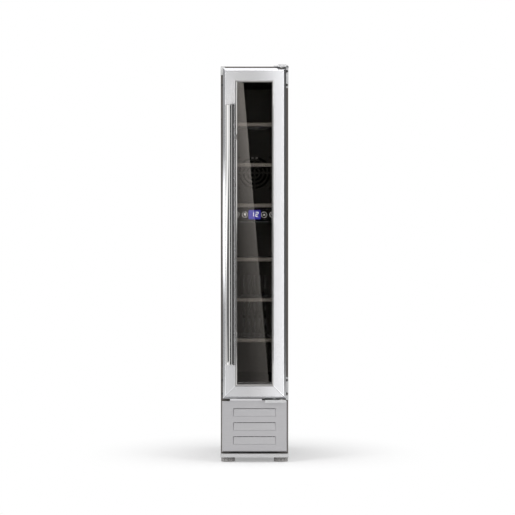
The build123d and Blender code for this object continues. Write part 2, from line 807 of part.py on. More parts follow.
# A clip-on cap covers the spare hinge place on the left, so that the door can be hung either way.
with BuildPart() as corner_cap:
    with BuildSketch(across(shell_front)):
        with Locations((-half_tray, cabinet_top - seam * 10)):
            Rectangle(bracket_plate_width, cap_height, align=(Align.MIN, Align.MAX))
    extrude(amount=cap_thickness)
    fillet(corner_cap.faces().sort_by(Axis.Y)[0].edges(), cap_thickness / 3)
write("corner_cap", corner_cap.part)

# ---------------------------------------------------------------- handle
handle_x = -(half_door - frame_width / 2)
handle_y = door_front - handle_projection + handle_diameter / 2
handle_bottom = door_bottom + handle_rise
handle_radius = handle_diameter / 2
with BuildPart() as handle_bar:
    with BuildSketch(level(handle_bottom)):
        with Locations((handle_x, handle_y)):
            Circle(handle_radius)
    extrude(amount=handle_length)
    fillet(handle_bar.edges().filter_by(GeomType.CIRCLE), handle_end_radius)
write("handle_bar", handle_bar.part)

with BuildPart() as handle_posts:
    with BuildSketch(across(door_front)):
        with Locations(
            (handle_x, handle_bottom + post_inset), (handle_x, handle_bottom + handle_length - post_inset)
        ):
            Circle(post_diameter / 2)
    extrude(amount=door_front - handle_y)
    with BuildSketch(level(handle_bottom)):
        with Locations((handle_x, handle_y)):
            Circle(handle_radius)
    extrude(amount=handle_length, mode=Mode.SUBTRACT)
write("handle_posts", handle_posts.part)

# ---------------------------------------------------------------- shelves
# Each is a wire cradle for one bottle: a rail that rides on the ledges, bowed cross wires, and rods laid
# along the bow, behind a trim bar. The rack is made once, and a copy goes to each shelf's height.
rail_x = shelf_width / 2 - rail_wire / 2
rod_step = rod_spread / (rod_count - 1)
bow_radius = (rail_x**2 + cradle_dip**2) / (2 * cradle_dip)
cross_step = (shelf_length - trim_depth - 2 * shelf_end) / (cross_count - 1)
with BuildPart() as rack:
    with BuildLine():
        FilletPolyline(
            (-rail_x, trim_back, 0), (-rail_x, shelf_back, 0),
            (rail_x, shelf_back, 0), (rail_x, trim_back, 0), radius=2 * rail_wire,
        )
    with BuildSketch(Plane(origin=(-rail_x, trim_back, 0), z_dir=(0, 1, 0))):
        Circle(rail_wire / 2)
    sweep()
    for step in range(cross_count):
        cross_y = trim_back + shelf_end + step * cross_step
        with BuildLine(across(cross_y)) as bowed:
            ThreePointArc((-rail_x, 0), (0, -cradle_dip), (rail_x, 0))
        with BuildSketch(Plane(origin=bowed.line @ 0, z_dir=bowed.line % 0)):
            Circle(rod_wire / 2)
        sweep()
    for rod in range(rod_count):
        rod_x = rod * rod_step - rod_spread / 2
        bow = bow_radius - sqrt(bow_radius**2 - rod_x**2)
        with BuildSketch(across(trim_back)):
            with Locations((rod_x, bow - cradle_dip + rod_seat * rod_wire)):
                Circle(rod_wire / 2)
        extrude(amount=-(shelf_length - trim_depth - shelf_end + rod_wire))

for number, trim_middle in enumerate(shelf_heights, start=1):
    with BuildPart() as shelf_trim:
        with BuildSketch(across(trim_front)):
            with Locations((0, trim_middle)):
                Rectangle(trim_width, trim_height)
        extrude(amount=-trim_depth)
        fillet(shelf_trim.faces().sort_by(Axis.Y)[0].edges().filter_by(Axis.X), trim_height / 4)
    write(f"shelf_trim_{number}", shelf_trim.part)

    with BuildPart() as shelf_rack:
        with Locations((0, 0, trim_middle + rail_rise)):
            add(rack.part)
    write(f"shelf_rack_{number}", shelf_rack.part)

# ---------------------------------------------------------------- control box
# A housing across the cavity under the third shelf, with a glossy fascia, a display and four keys.
box_top = shelf_heights[shelves_per_group - 1] - trim_height / 2 - box_drop
box_middle = box_top - box_height / 2
fascia_front = shell_front + fascia_setback
fascia_back = fascia_front + fascia_thickness
half_bore = key_diameter / 2 + key_clearance
key_places = {
    "power_key": -key_outer,
    "light_key": -key_inner,
    "up_key": key_inner,
    "down_key": key_outer,
}
with BuildPart() as control_box:
    with BuildSketch(across(fascia_back)):
        with Locations((0, box_middle)):
            Rectangle(cavity_width, box_height)
    extrude(amount=-box_depth)
    fillet(control_box.edges().filter_by(Axis.X).group_by(Axis.Y)[-1], box_wall)
    with BuildSketch(across(fascia_back)):
        with Locations((0, box_middle)):
            Rectangle(cavity_width - 2 * box_wall, box_height - 2 * box_wall)
    extrude(amount=box_wall - box_depth, mode=Mode.SUBTRACT)
    with BuildSketch(level(box_middle)):
        with Locations((0, fascia_back + box_depth / 2)):
            Rectangle(lamp_width, lamp_depth)
    extrude(amount=-box_height, mode=Mode.SUBTRACT)
write("control_box", control_box.part)

with BuildPart() as control_fascia:
    with BuildSketch(across(fascia_back)):
        with Locations((0, box_middle)):
            Rectangle(cavity_width - 2 * seam, box_height)
    extrude(amount=fascia_thickness)
    with BuildSketch(across(fascia_front)):
        with Locations((0, box_middle)):
            Rectangle(window_width + 2 * seam, window_height + 2 * seam)
    extrude(amount=-window_thickness, mode=Mode.SUBTRACT)
    with BuildSketch(across(fascia_front)):
        with Locations((0, box_middle)):
            Rectangle(window_width - window_ledge, window_height - window_ledge)
        with Locations(*[(x, box_middle) for x in key_places.values()]):
            Circle(half_bore)
    extrude(amount=-fascia_thickness, mode=Mode.SUBTRACT)
write("control_fascia", control_fascia.part)

with BuildPart() as display_window:
    with BuildSketch(across(fascia_front + window_thickness)):
        with Locations((0, box_middle)):
            Rectangle(window_width, window_height)
    extrude(amount=window_thickness)
write("display_window", display_window.part)

# A key is a round cap through the fascia, with a collar behind that stops it falling out.
for name, x in key_places.items():
    with BuildPart() as key:
        with BuildSketch(across(fascia_back + key_play)):
            with Locations((x, box_middle)):
                Circle(key_diameter / 2)
        extrude(amount=fascia_thickness + key_play + key_proud)
        fillet(key.faces().sort_by(Axis.Y)[0].edges(), key_edge)
        with BuildSketch(across(fascia_back + key_play)):
            with Locations((x, box_middle)):
                Circle(key_diameter / 2 + key_collar)
        extrude(amount=-key_collar)
    write(name, key.part)

with BuildPart() as lamp_lens:
    with BuildSketch(level(box_top - box_height + box_wall)):
        with Locations((0, fascia_back + box_depth / 2)):
            Rectangle(lamp_width, lamp_depth)
    extrude(amount=-lamp_height)
    fillet(lamp_lens.faces().sort_by(Axis.Z)[0].edges(), lamp_height / 4)
write("lamp_lens", lamp_lens.part)

# ---------------------------------------------------------------- air duct
# The rear wall of the cavity is a moulded cover over the duct: ring slots in front of the fan, and
# columns of upright slots in front of the evaporator.
with BuildPart() as duct_cover:
    with BuildSketch(across(duct_front)):
        with Locations((0, cavity_middle)):
            RectangleRounded(cavity_width - 2 * duct_margin, cavity_height - 2 * duct_margin, liner_radius)
    extrude(amount=-duct_depth)
    fillet(duct_cover.faces().sort_by(Axis.Y)[0].edges(), duct_wall / 2)
    with BuildSketch(across(duct_front + duct_wall)):
        with Locations((0, cavity_middle)):
            Rectangle(
                cavity_width - 2 * (duct_margin + duct_wall), cavity_height - 2 * (duct_margin + duct_wall)
            )
    extrude(amount=-duct_depth, mode=Mode.SUBTRACT)
    ring_reach = ring_first_radius + ring_count * ring_pitch
    with BuildSketch(across(duct_front)):
        with Locations((0, fan_height)):
            for ring in reversed(range(ring_count)):
                radius = ring_first_radius + ring * ring_pitch
                Circle(radius + ring_slot / 2)
                Circle(radius - ring_slot / 2, mode=Mode.SUBTRACT)
            Rectangle(ring_rib, 2 * ring_reach, mode=Mode.SUBTRACT)
            Rectangle(2 * ring_reach, ring_rib, mode=Mode.SUBTRACT)
        slots_middle = cavity_floor + slot_bottom_rise + (slot_length + (slot_rows - 1) * slot_row_pitch) / 2
        with Locations((0, slots_middle)):
            with GridLocations(slot_column_pitch, slot_row_pitch, slot_columns, slot_rows):
                Rectangle(slot_width, slot_length)
    extrude(amount=-duct_wall, mode=Mode.SUBTRACT)
    with BuildSketch(across(duct_front)):
        with Locations((0, fan_height)):
            with GridLocations(fan_screw_pitch, fan_screw_pitch, 2, 2):
                Circle(duct_screw_recess / 2)
    extrude(amount=-duct_wall / 2, mode=Mode.SUBTRACT)
    with BuildSketch(across(duct_front + duct_wall)):
        with Locations((0, fan_height)):
            with GridLocations(fan_screw_pitch, fan_screw_pitch, 2, 2):
                Circle(fan_boss / 2)
    extrude(amount=-fan_standoff)
write("duct_cover", duct_cover.part)

# ---------------------------------------------------------------- fans
# Both axial fans are alike: a square housing with a motor mount on struts, and a bladed rotor.
cooling_front = shell_front + condenser_setback + condenser_depth + cooling_fan_gap
fans = {
    "fan": (fan_size, duct_front + duct_wall + fan_standoff, fan_height),
    "condenser_fan": (cooling_fan_size, cooling_front, tray_top + cooling_fan_size / 2),
}
for name, (size, front, height) in fans.items():
    bore_radius = size / 2 - fan_rim
    hub_radius = hub_share * size / 2
    mount_front = front + fan_thickness - mount_thickness
    with BuildPart() as fan_housing:
        with BuildSketch(across(front)):
            with Locations((0, height)):
                RectangleRounded(size, size, fan_corner)
                Circle(bore_radius, mode=Mode.SUBTRACT)
        extrude(amount=-fan_thickness)
        with BuildSketch(across(mount_front)):
            with Locations((0, height)):
                Circle(hub_radius)
                with PolarLocations(0, strut_count, start_angle=strut_turn):
                    Rectangle(bore_radius + fan_rim / 4, strut_width, align=(Align.MIN, Align.CENTER))
                Circle(fan_shaft / 2 + shaft_clearance, mode=Mode.SUBTRACT)
        extrude(amount=-mount_thickness)
    write(f"{name}_housing", fan_housing.part)

    # One blade, out along X: an arched strip that widens and flattens from its root to its tip.
    tip_radius = bore_radius - tip_clearance
    blade_reach = {"root": hub_radius - blade_sunk, "tip": tip_radius + blade_spare}
    with BuildPart() as fan_blade:
        for station, (chord_share, pitch) in blade_stations.items():
            half_chord = chord_share * size / 2
            arch = 2 * half_chord * blade_camber
            chordwise = Vector(0, 1, 0).rotate(Axis.X, pitch)
            with BuildSketch(Plane(origin=(blade_reach[station], 0, 0), x_dir=chordwise, z_dir=(1, 0, 0))):
                with BuildLine():
                    ThreePointArc((-half_chord, 0), (0, arch), (half_chord, 0))
                    ThreePointArc((half_chord, 0), (0, arch - blade_thickness), (-half_chord, 0))
                make_face()
        loft()

    with BuildPart() as fan_rotor:
        with BuildSketch(across(mount_front - rotor_clearance)):
            with Locations((0, height)):
                Circle(hub_radius)
        extrude(amount=fan_thickness - mount_thickness - 2 * rotor_clearance)
        fillet(fan_rotor.faces().sort_by(Axis.Y)[0].edges(), hub_edge)
        rotor_middle = (front + mount_front) / 2
        with Locations(Plane(origin=(0, rotor_middle, height), x_dir=(1, 0, 0), z_dir=(0, -1, 0))):
            with PolarLocations(0, blade_count):
                add(fan_blade.part)
        with BuildSketch(across(mount_front)):
            with Locations((0, height)):
                Circle(tip_radius)
        extrude(amount=fan_thickness - mount_thickness, mode=Mode.INTERSECT)
        with BuildSketch(across(mount_front - rotor_clearance)):
            with Locations((0, height)):
                Circle(fan_shaft / 2)
        extrude(amount=-(rotor_clearance + mount_thickness))
    write(f"{name}_rotor", fan_rotor.part)

# ---------------------------------------------------------------- evaporator and its sensor
# Roll-bond plate: one thin plate with a blown channel that winds up it, flat against the liner.
evaporator_bottom = cavity_floor + evaporator_rise
evaporator_front = cavity_back - channel_width / 2 - evaporator_plate / 2
channel_reach = evaporator_width / 2 - channel_pitch / 2 - channel_width
with BuildPart() as evaporator:
    with BuildSketch(across(evaporator_front)):
        with Locations((0, evaporator_bottom)):
            Rectangle(evaporator_width, evaporator_height, align=(Align.CENTER, Align.MIN))
    extrude(amount=-evaporator_plate)
    first_row = evaporator_bottom + (evaporator_height - (channel_rows - 1) * channel_pitch) / 2
    with BuildLine(across(evaporator_front + evaporator_plate / 2)):
        for row in range(channel_rows):
            side = 1 if row % 2 == 0 else -1
            height = first_row + row * channel_pitch
            Line((-side * channel_reach, height), (side * channel_reach, height))
            if row < channel_rows - 1:
                ThreePointArc(
                    (side * channel_reach, height),
                    (side * (channel_reach + channel_pitch / 2), height + channel_pitch / 2),
                    (side * channel_reach, height + channel_pitch),
                )
    channel_start = (-channel_reach, evaporator_front + evaporator_plate / 2, first_row)
    with BuildSketch(Plane(origin=channel_start, z_dir=(1, 0, 0))):
        Circle(channel_width / 2)
    sweep()
write("evaporator", evaporator.part)

# The sensor is clipped behind the top of the grille, and its two studs show through the outer ring.
sensor_height = fan_height + ring_first_radius + (ring_count - 1) * ring_pitch
with BuildPart() as temperature_sensor:
    with BuildSketch(across(duct_front + duct_wall)):
        with Locations((0, sensor_height)):
            Rectangle(sensor_width, sensor_size)
    extrude(amount=-sensor_depth)
    with BuildSketch(across(duct_front + duct_wall)):
        with Locations((0, sensor_height)):
            with GridLocations(stud_pitch, 0, 2, 1):
                Circle(stud_diameter / 2)
    extrude(amount=duct_wall + stud_reach)
    fillet(temperature_sensor.faces().group_by(Axis.Y)[0].edges(), stud_diameter / 3)
write("temperature_sensor", temperature_sensor.part)

# ---------------------------------------------------------------- machine space
# Fin-and-tube condenser behind the louvres: fins that stand on the tray, threaded on one bent tube.
condenser_front = shell_front + condenser_setback
condenser_middle = condenser_front + condenser_depth / 2
fin_pitch = (condenser_width - fin_thickness) / (fin_count - 1)
tube_reach = condenser_width / 2
with BuildPart() as condenser_coil:
    with BuildSketch(*[Plane.YZ.offset(-tube_reach + fin * fin_pitch) for fin in range(fin_count)]):
        with Locations((condenser_middle, tray_top)):
            Rectangle(condenser_depth, condenser_height, align=(Align.CENTER, Align.MIN))
    extrude(amount=fin_thickness)
    lowest_row = tray_top + (condenser_height - (condenser_rows - 1) * condenser_row_pitch) / 2
    with BuildLine(across(condenser_middle)):
        for row in range(condenser_rows):
            side = 1 if row % 2 == 0 else -1
            height = lowest_row + row * condenser_row_pitch
            Line((-side * tube_reach, height), (side * tube_reach, height))
            if row < condenser_rows - 1:
                ThreePointArc(
                    (side * tube_reach, height),
                    (side * (tube_reach + condenser_row_pitch / 2), height + condenser_row_pitch / 2),
                    (side * tube_reach, height + condenser_row_pitch),
                )
    with BuildSketch(Plane(origin=(-tube_reach, condenser_middle, lowest_row), z_dir=(1, 0, 0))):
        Circle(condenser_tube / 2)
    sweep()
write("condenser_coil", condenser_coil.part)

# Compressor: two drawn steel cups welded at a lip, on a foot plate over four rubber mounts.
compressor_y = shell_back - compressor_rear
shell_radius = compressor_diameter / 2
shell_bottom = tray_top + mount_height + foot_plate
with BuildPart() as compressor:
    with BuildSketch(level(tray_top + mount_height)):
        with Locations((0, compressor_y)):
            RectangleRounded(
                mount_spread_x + mount_diameter, mount_spread_y + mount_diameter, mount_diameter / 2
            )
    extrude(amount=foot_plate)
    with BuildSketch(across(compressor_y)) as shell_section:
        with Locations((0, shell_bottom)):
            Rectangle(shell_radius, compressor_height, align=(Align.MIN, Align.MIN))
        right_side = shell_section.vertices().group_by(Axis.X)[-1].sort_by(Axis.Z)
        fillet(right_side[-1], dome_radius)
        fillet(right_side[0], cup_radius)
        with Locations((0, shell_bottom + weld_rise)):
            Rectangle(shell_radius + weld_lip, weld_lip, align=(Align.MIN, Align.MIN))
    revolve(axis=Axis((0, compressor_y, 0), (0, 0, 1)))
    with BuildSketch(Plane.YZ.offset(shell_radius - terminal_reach)):
        with Locations((compressor_y, shell_bottom + compressor_height / 3)):
            RectangleRounded(terminal_width, terminal_height, terminal_height / 8)
    extrude(amount=2 * terminal_reach)
write("compressor", compressor.part)

with BuildPart() as compressor_mounts:
    with BuildSketch(level(tray_top)):
        with Locations((0, compressor_y)):
            with GridLocations(mount_spread_x, mount_spread_y, 2, 2):
                Circle(mount_diameter / 2)
                Circle(mount_diameter / 5, mode=Mode.SUBTRACT)
    extrude(amount=mount_height)
write("compressor_mounts", compressor_mounts.part)

# Refrigerant lines: the hot line to the condenser, the liquid line with its drier and capillary, and
# the suction line. The last two rise to the deck, where they go up to the evaporator.
line_x = -(half_inside - line_side_gap)
line_height = shell_bottom + line_rise
highest_row = lowest_row + (condenser_rows - 1) * condenser_row_pitch
coil_end = -tube_reach - seam
deck_entry = shell_back - line_rear_gap
drier_front = cooling_front + fan_thickness + drier_gap
drier_back = drier_front + drier_length
line_runs = [
    (line_diameter, [
        (-shell_radius - seam, compressor_y, line_height), (line_x, compressor_y, line_height),
        (line_x, condenser_middle, line_height), (line_x, condenser_middle, highest_row),
        (coil_end, condenser_middle, highest_row),
    ]),
    (line_diameter, [
        (0, compressor_y + shell_radius + seam, line_height), (0, deck_entry, line_height),
        (0, deck_entry, deck_bottom - seam),
    ]),
    (line_diameter, [
        (coil_end, condenser_middle, lowest_row), (line_x, condenser_middle, lowest_row),
        (line_x, drier_front, lowest_row),
    ]),
    (capillary_diameter, [
        (line_x, drier_back, lowest_row), (line_x, deck_entry, lowest_row),
        (line_x, deck_entry, deck_bottom - seam),
    ]),
]
with BuildPart() as refrigerant_lines:
    for width, corners in line_runs:
        with BuildLine() as run:
            FilletPolyline(*corners, radius=line_bend)
        with BuildSketch(Plane(origin=run.line @ 0, z_dir=run.line % 0)):
            Circle(width / 2)
        sweep()
    with BuildSketch(across(drier_front)):
        with Locations((line_x, lowest_row)):
            Circle(drier_diameter / 2)
    extrude(amount=-drier_length)
    fillet(refrigerant_lines.edges().filter_by(GeomType.CIRCLE).filter_by(
        lambda edge: abs(edge.radius - drier_diameter / 2) < seam
    ), drier_diameter / 8)
write("refrigerant_lines", refrigerant_lines.part)

with BuildPart() as board_housing:
    with BuildSketch(level(tray_top)):
        with Locations((half_inside - board_side_gap, shell_back - board_rear)):
            Rectangle(board_width, board_depth, align=(Align.MAX, Align.MAX))
    extrude(amount=board_height)
    fillet(board_housing.edges().filter_by(Axis.Z), board_corner)
    fillet(board_housing.faces().sort_by(Axis.Z)[-1].edges(), board_corner / 2)
write("board_housing", board_housing.part)

# The rear cover of the machine space lies against the side returns and lets the warm air out.
with BuildPart() as machine_cover:
    with BuildSketch(across(shell_back - sheet)):
        with Locations((0, tray_top)):
            Rectangle(2 * (half_cabinet - bend), deck_bottom - tray_top, align=(Align.CENTER, Align.MIN))
        with Locations((0, (tray_top + deck_bottom) / 2)):
            with GridLocations(vent_column_pitch, vent_row_pitch, vent_columns, vent_rows):
                SlotOverall(vent_length, vent_width, mode=Mode.SUBTRACT)
        with Locations((-gland_x, tray_top + gland_rise)):
            Circle(gland_diameter / 2, mode=Mode.SUBTRACT)
    extrude(amount=sheet)
write("machine_cover", machine_cover.part)

# Cord gland: a rubber bush in the rear cover.
with BuildPart() as cord_gland:
    with BuildSketch(across(shell_back)):
        with Locations((-gland_x, tray_top + gland_rise)):
            Circle(gland_diameter / 2)
            Circle(gland_bore / 2, mode=Mode.SUBTRACT)
    extrude(amount=gland_length)
write("cord_gland", cord_gland.part)

# ---------------------------------------------------------------- levelling feet
# A moulded pad with finger notches round its rim, on a threaded stem that runs up through the tray.
for name, (x, y) in foot_spots.items():
    with BuildPart() as foot:
        with BuildSketch(level(0)):
            with Locations((x, y)):
                Circle(pad_diameter / 2)
        extrude(amount=pad_height)
        fillet(foot.edges().filter_by(GeomType.CIRCLE), pad_edge)
        with BuildSketch(level(0)):
            with Locations((x, y)):
                with PolarLocations(pad_diameter / 2, pad_notches):
                    Circle(notch_radius)
        extrude(amount=pad_height, mode=Mode.SUBTRACT)
        with BuildSketch(level(pad_height)):
            with Locations((x, y)):
                Circle(stem_diameter / 2)
        extrude(amount=stem_length)
    write(name, foot.part)
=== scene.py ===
from math import cos, pi, radians, sin

import bmesh
import bpy
from mathutils import Matrix, Vector


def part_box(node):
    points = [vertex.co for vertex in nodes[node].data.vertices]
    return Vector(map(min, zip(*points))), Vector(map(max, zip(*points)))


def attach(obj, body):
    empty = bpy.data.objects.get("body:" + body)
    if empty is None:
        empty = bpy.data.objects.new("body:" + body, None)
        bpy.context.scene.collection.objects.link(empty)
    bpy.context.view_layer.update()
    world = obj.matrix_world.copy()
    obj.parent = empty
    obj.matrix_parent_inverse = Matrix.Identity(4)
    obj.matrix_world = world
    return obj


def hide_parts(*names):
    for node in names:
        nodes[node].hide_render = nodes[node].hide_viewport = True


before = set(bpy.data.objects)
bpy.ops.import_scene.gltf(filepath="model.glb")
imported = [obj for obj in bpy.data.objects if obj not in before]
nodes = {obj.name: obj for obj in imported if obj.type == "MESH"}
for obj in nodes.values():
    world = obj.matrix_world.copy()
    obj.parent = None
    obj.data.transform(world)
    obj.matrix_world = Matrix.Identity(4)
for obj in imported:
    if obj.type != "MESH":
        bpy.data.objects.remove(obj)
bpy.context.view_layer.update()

# ---------------------------------------------------------------- cabinet shell
# Side panels and top, folded from 0.8 mm sheet steel, each with a narrow return at the front.
# Powder-coated dark warm grey: the coat keeps a fine orange-peel skin and faint clouds of tone.
CABINET_GREY = (0.085, 0.075, 0.068, 1)
CLOUD_DETAIL = 3.0
GRAIN_DETAIL = 1.0


class Nodes:
    """Short ways to add nodes to one shader tree."""

    def __init__(self, tree):
        self.tree = tree

    def add(self, kind, inputs=None, **settings):
        """A node with its settings, and with values or links on its inputs."""
        node = self.tree.nodes.new("ShaderNode" + kind)
        for name, value in settings.items():
            setattr(node, name, value)
        for name, value in (inputs or {}).items():
            if isinstance(value, bpy.types.NodeSocket):
                self.tree.links.new(value, node.inputs[name])
            else:
                node.inputs[name].default_value = value
        return node

    def mix(self, factor, first, second):
        """A colour between two others. Sockets 6, 7 and 2 of the node are its colours."""
        return self.add("Mix", {0: factor, 6: first, 7: second}, data_type="RGBA").outputs[2]

    def math(self, operation, *values):
        return self.add("Math", dict(enumerate(values)), operation=operation).outputs[0]

    def spread(self, value, low, high, start=0.0, end=1.0, **settings):
        """A value that runs from start to end, moved to the range from low to high."""
        limits = {"From Min": start, "From Max": end, "To Min": low, "To Max": high}
        return self.add("MapRange", {"Value": value, **limits}, **settings).outputs[0]

    def noise(self, vector, scale, detail):
        return self.add("TexNoise", {"Vector": vector, "Scale": scale, "Detail": detail}).outputs["Fac"]

    def axes(self, vector):
        return self.add("SeparateXYZ", {"Vector": vector}).outputs


class Effect(Nodes):
    """A shared effect: a node group that turns a place into values."""

    def __init__(self, name, **inputs):
        group = bpy.data.node_groups.new(name, "ShaderNodeTree")
        super().__init__(group)
        group.interface.new_socket("Vector", in_out="INPUT", socket_type="NodeSocketVector")
        for label, value in inputs.items():
            kind = "NodeSocketVector" if isinstance(value, tuple) else "NodeSocketFloat"
            group.interface.new_socket(label, in_out="INPUT", socket_type=kind).default_value = value
        self.given = group.nodes.new("NodeGroupInput").outputs
        self.result = group.nodes.new("NodeGroupOutput")

    def give(self, name, value):
        self.tree.interface.new_socket(name, in_out="OUTPUT", socket_type="NodeSocketFloat")
        self.tree.links.new(value, self.result.inputs[name])


class Finish(Nodes):
    """One material: a Principled shader fed by nodes that read the piece's Object coordinates."""

    def __init__(self, name, **sockets):
        self.material = bpy.data.materials.new(name)
        self.material.use_nodes = True
        super().__init__(self.material.node_tree)
        self.shader = self.tree.nodes["Principled BSDF"]
        for socket, value in sockets.items():
            self.shader.inputs[socket.replace("_", " ")].default_value = value
        self.place = self.add("TexCoord").outputs["Object"]

    def feed(self, socket, value):
        self.tree.links.new(value, self.shader.inputs[socket])

    def effect(self, effect, **inputs):
        """A shared effect, placed at the piece's own coordinates."""
        return self.add("Group", {"Vector": self.place, **inputs}, node_tree=effect.tree).outputs

    def tone(self, value, dark, light, rough):
        """Lets one value vary the colour and the roughness together."""
        self.feed("Base Color", self.mix(value, dark, light))
        self.feed("Roughness", self.spread(value, *rough))

    def relief(self, height, depth):
        bump = self.add("Bump", {"Height": height, "Distance": depth, "Strength": 1.0})
        self.feed("Normal", bump.outputs["Normal"])

    def surface(self, shader):
        """Another shader in place of the Principled one."""
        self.tree.links.new(shader.outputs[0], self.tree.nodes["Material Output"].inputs["Surface"])


def shade(colour, factor):
    """A colour made darker or lighter."""
    return tuple(c * factor for c in colour[:3]) + (1,)


def dress(finish, *names):
    """Gives CAD nodes their finish."""
    for name in names:
        slots = nodes[name].data.materials
        slots.clear()
        slots.append(finish.material)


# Skin: fine grains in Height and broad soft clouds in Tone, for coats and moulded plastic.
skin = Effect("skin", Grains=900.0, Clouds=9.0)
skin.give("Tone", skin.noise(skin.given["Vector"], skin.given["Clouds"], CLOUD_DETAIL))
skin.give("Height", skin.noise(skin.given["Vector"], skin.given["Grains"], GRAIN_DETAIL))

cabinet_coat = Finish("cabinet_coat")
coat_skin = cabinet_coat.effect(skin, Grains=1100.0, Clouds=7.0)
cabinet_coat.tone(coat_skin["Tone"], shade(CABINET_GREY, 0.85), shade(CABINET_GREY, 1.15), rough=(0.4, 0.5))
cabinet_coat.relief(coat_skin["Height"], depth=0.00006)
dress(cabinet_coat, "left_side_panel", "right_side_panel", "top_panel")

# ---------------------------------------------------------------- galvanised sheets
# The back, the deck over the machine space and the cover of the machine space are bare zinc-coated
# sheet. Zinc freezes in flat crystals, so the sheet is patched in slightly different greys.
ZINC = (0.52, 0.53, 0.54, 1)
zinc_sheet = Finish("zinc_sheet", Metallic=1.0)
crystals = zinc_sheet.add("TexVoronoi", {"Vector": zinc_sheet.place, "Scale": 85.0}).outputs
crystal_tone = zinc_sheet.add("SeparateColor", {"Color": crystals["Color"]}).outputs[0]
zinc_sheet.tone(crystal_tone, shade(ZINC, 0.82), shade(ZINC, 1.12), rough=(0.34, 0.52))
zinc_sheet.relief(crystals["Distance"], depth=0.00002)
dress(zinc_sheet, "rear_panel", "deck_plate", "machine_cover")

# ---------------------------------------------------------------- base tray
# A pressed tray under the machine space, powder-coated silver grey. Its front lip shows under the
# kick panel, and the feet screw into it.
TRAY_SILVER = (0.43, 0.43, 0.43, 1)
tray_coat = Finish("tray_coat", Metallic=0.35)
tray_skin = tray_coat.effect(skin, Grains=1400.0, Clouds=12.0)
tray_coat.tone(tray_skin["Tone"], shade(TRAY_SILVER, 0.92), shade(TRAY_SILVER, 1.06), rough=(0.38, 0.5))
tray_coat.relief(tray_skin["Height"], depth=0.00004)
dress(tray_coat, "base_tray")

# ---------------------------------------------------------------- liner and foam
# The liner is one sheet of dark polystyrene drawn over a mould with the shelf ledges in it. Foam
# fills the space between liner and shell, and is seen nowhere from outside.
LINER_DARK = (0.03, 0.028, 0.027, 1)
FOAM_CREAM = (0.72, 0.6, 0.36, 1)
liner_sheet = Finish("liner_sheet", Specular_IOR_Level=0.4)
liner_skin = liner_sheet.effect(skin, Grains=1600.0, Clouds=14.0)
liner_sheet.tone(liner_skin["Tone"], shade(LINER_DARK, 0.8), shade(LINER_DARK, 1.2), rough=(0.4, 0.5))
liner_sheet.relief(liner_skin["Height"], depth=0.00003)
dress(liner_sheet, "inner_liner")

foam = Finish("foam")
foam_cells = foam.add("TexVoronoi", {"Vector": foam.place, "Scale": 700.0}).outputs["Distance"]
foam.tone(foam_cells, shade(FOAM_CREAM, 0.7), FOAM_CREAM, rough=(0.9, 0.8))
foam.relief(foam_cells, depth=0.0004)
dress(foam, "foam_insulation")

# ---------------------------------------------------------------- kick panel
# The louvred panel below the door is thin stainless sheet, brushed from side to side. Brushing
# leaves hair-fine lines that run along the sheet and soften what it mirrors.
KICK_STEEL = (0.465, 0.46, 0.472, 1)
KICK_LINES = (26.0, 2400.0, 2400.0)
LINE_SHARE = 0.88  # of the tone, and the sheen has the rest
LINE_DETAIL = 2.0
SHEEN_SCALE = 0.06  # of the sheen's noise, where that of the lines is 1

# Brushing: a noise stretched by Lines, per metre on each axis, for the lines, and a slow sheen.
brushing = Effect("brushing", Lines=(30.0, 2600.0, 2600.0))
stretch = {0: brushing.given["Vector"], 1: brushing.given["Lines"]}
stretched = brushing.add("VectorMath", stretch, operation="MULTIPLY").outputs[0]
hair_lines = brushing.noise(stretched, 1.0, LINE_DETAIL)
sheen = brushing.math("MULTIPLY", brushing.noise(stretched, SHEEN_SCALE, LINE_DETAIL), 1 - LINE_SHARE)
brushing.give("Tone", brushing.math("MULTIPLY_ADD", hair_lines, LINE_SHARE, sheen))
brushing.give("Height", hair_lines)

kick_steel = Finish("kick_steel", Metallic=1.0)
kick_lines = kick_steel.effect(brushing, Lines=KICK_LINES)
kick_steel.tone(kick_lines["Tone"], shade(KICK_STEEL, 0.88), shade(KICK_STEEL, 1.12), rough=(0.32, 0.44))
kick_steel.relief(kick_lines["Height"], depth=0.000012)
dress(kick_steel, "kick_panel")


def extruded(bm, rim, travel):
    """Draws a flat face out by travel, into a closed solid."""
    face = bm.faces.new([bm.verts.new(point) for point in rim])
    grown = bmesh.ops.extrude_face_region(bm, geom=[face])["geom"]
    drawn = [item for item in grown if isinstance(item, bmesh.types.BMVert)]
    bmesh.ops.translate(bm, verts=drawn, vec=travel)


def placed(name, bm, finish=None):
    """An object in the scene with the form in bm, which is used up."""
    mesh = bpy.data.meshes.new(name)
    bm.to_mesh(mesh)
    bm.free()
    if finish:
        mesh.materials.append(finish.material)
    made = bpy.data.objects.new(name, mesh)
    bpy.context.scene.collection.objects.link(made)
    return made


def piece(name, bm, finish, body, crease=radians(35)):
    """A finished form that moves with a body, smooth except at edges sharper than crease."""
    bmesh.ops.recalc_face_normals(bm, faces=bm.faces)
    for face in bm.faces:
        face.smooth = True
    for edge in bm.edges:
        edge.smooth = edge.is_manifold and edge.calc_face_angle() < crease
    made = placed(name, bm, finish)
    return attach(made, body)


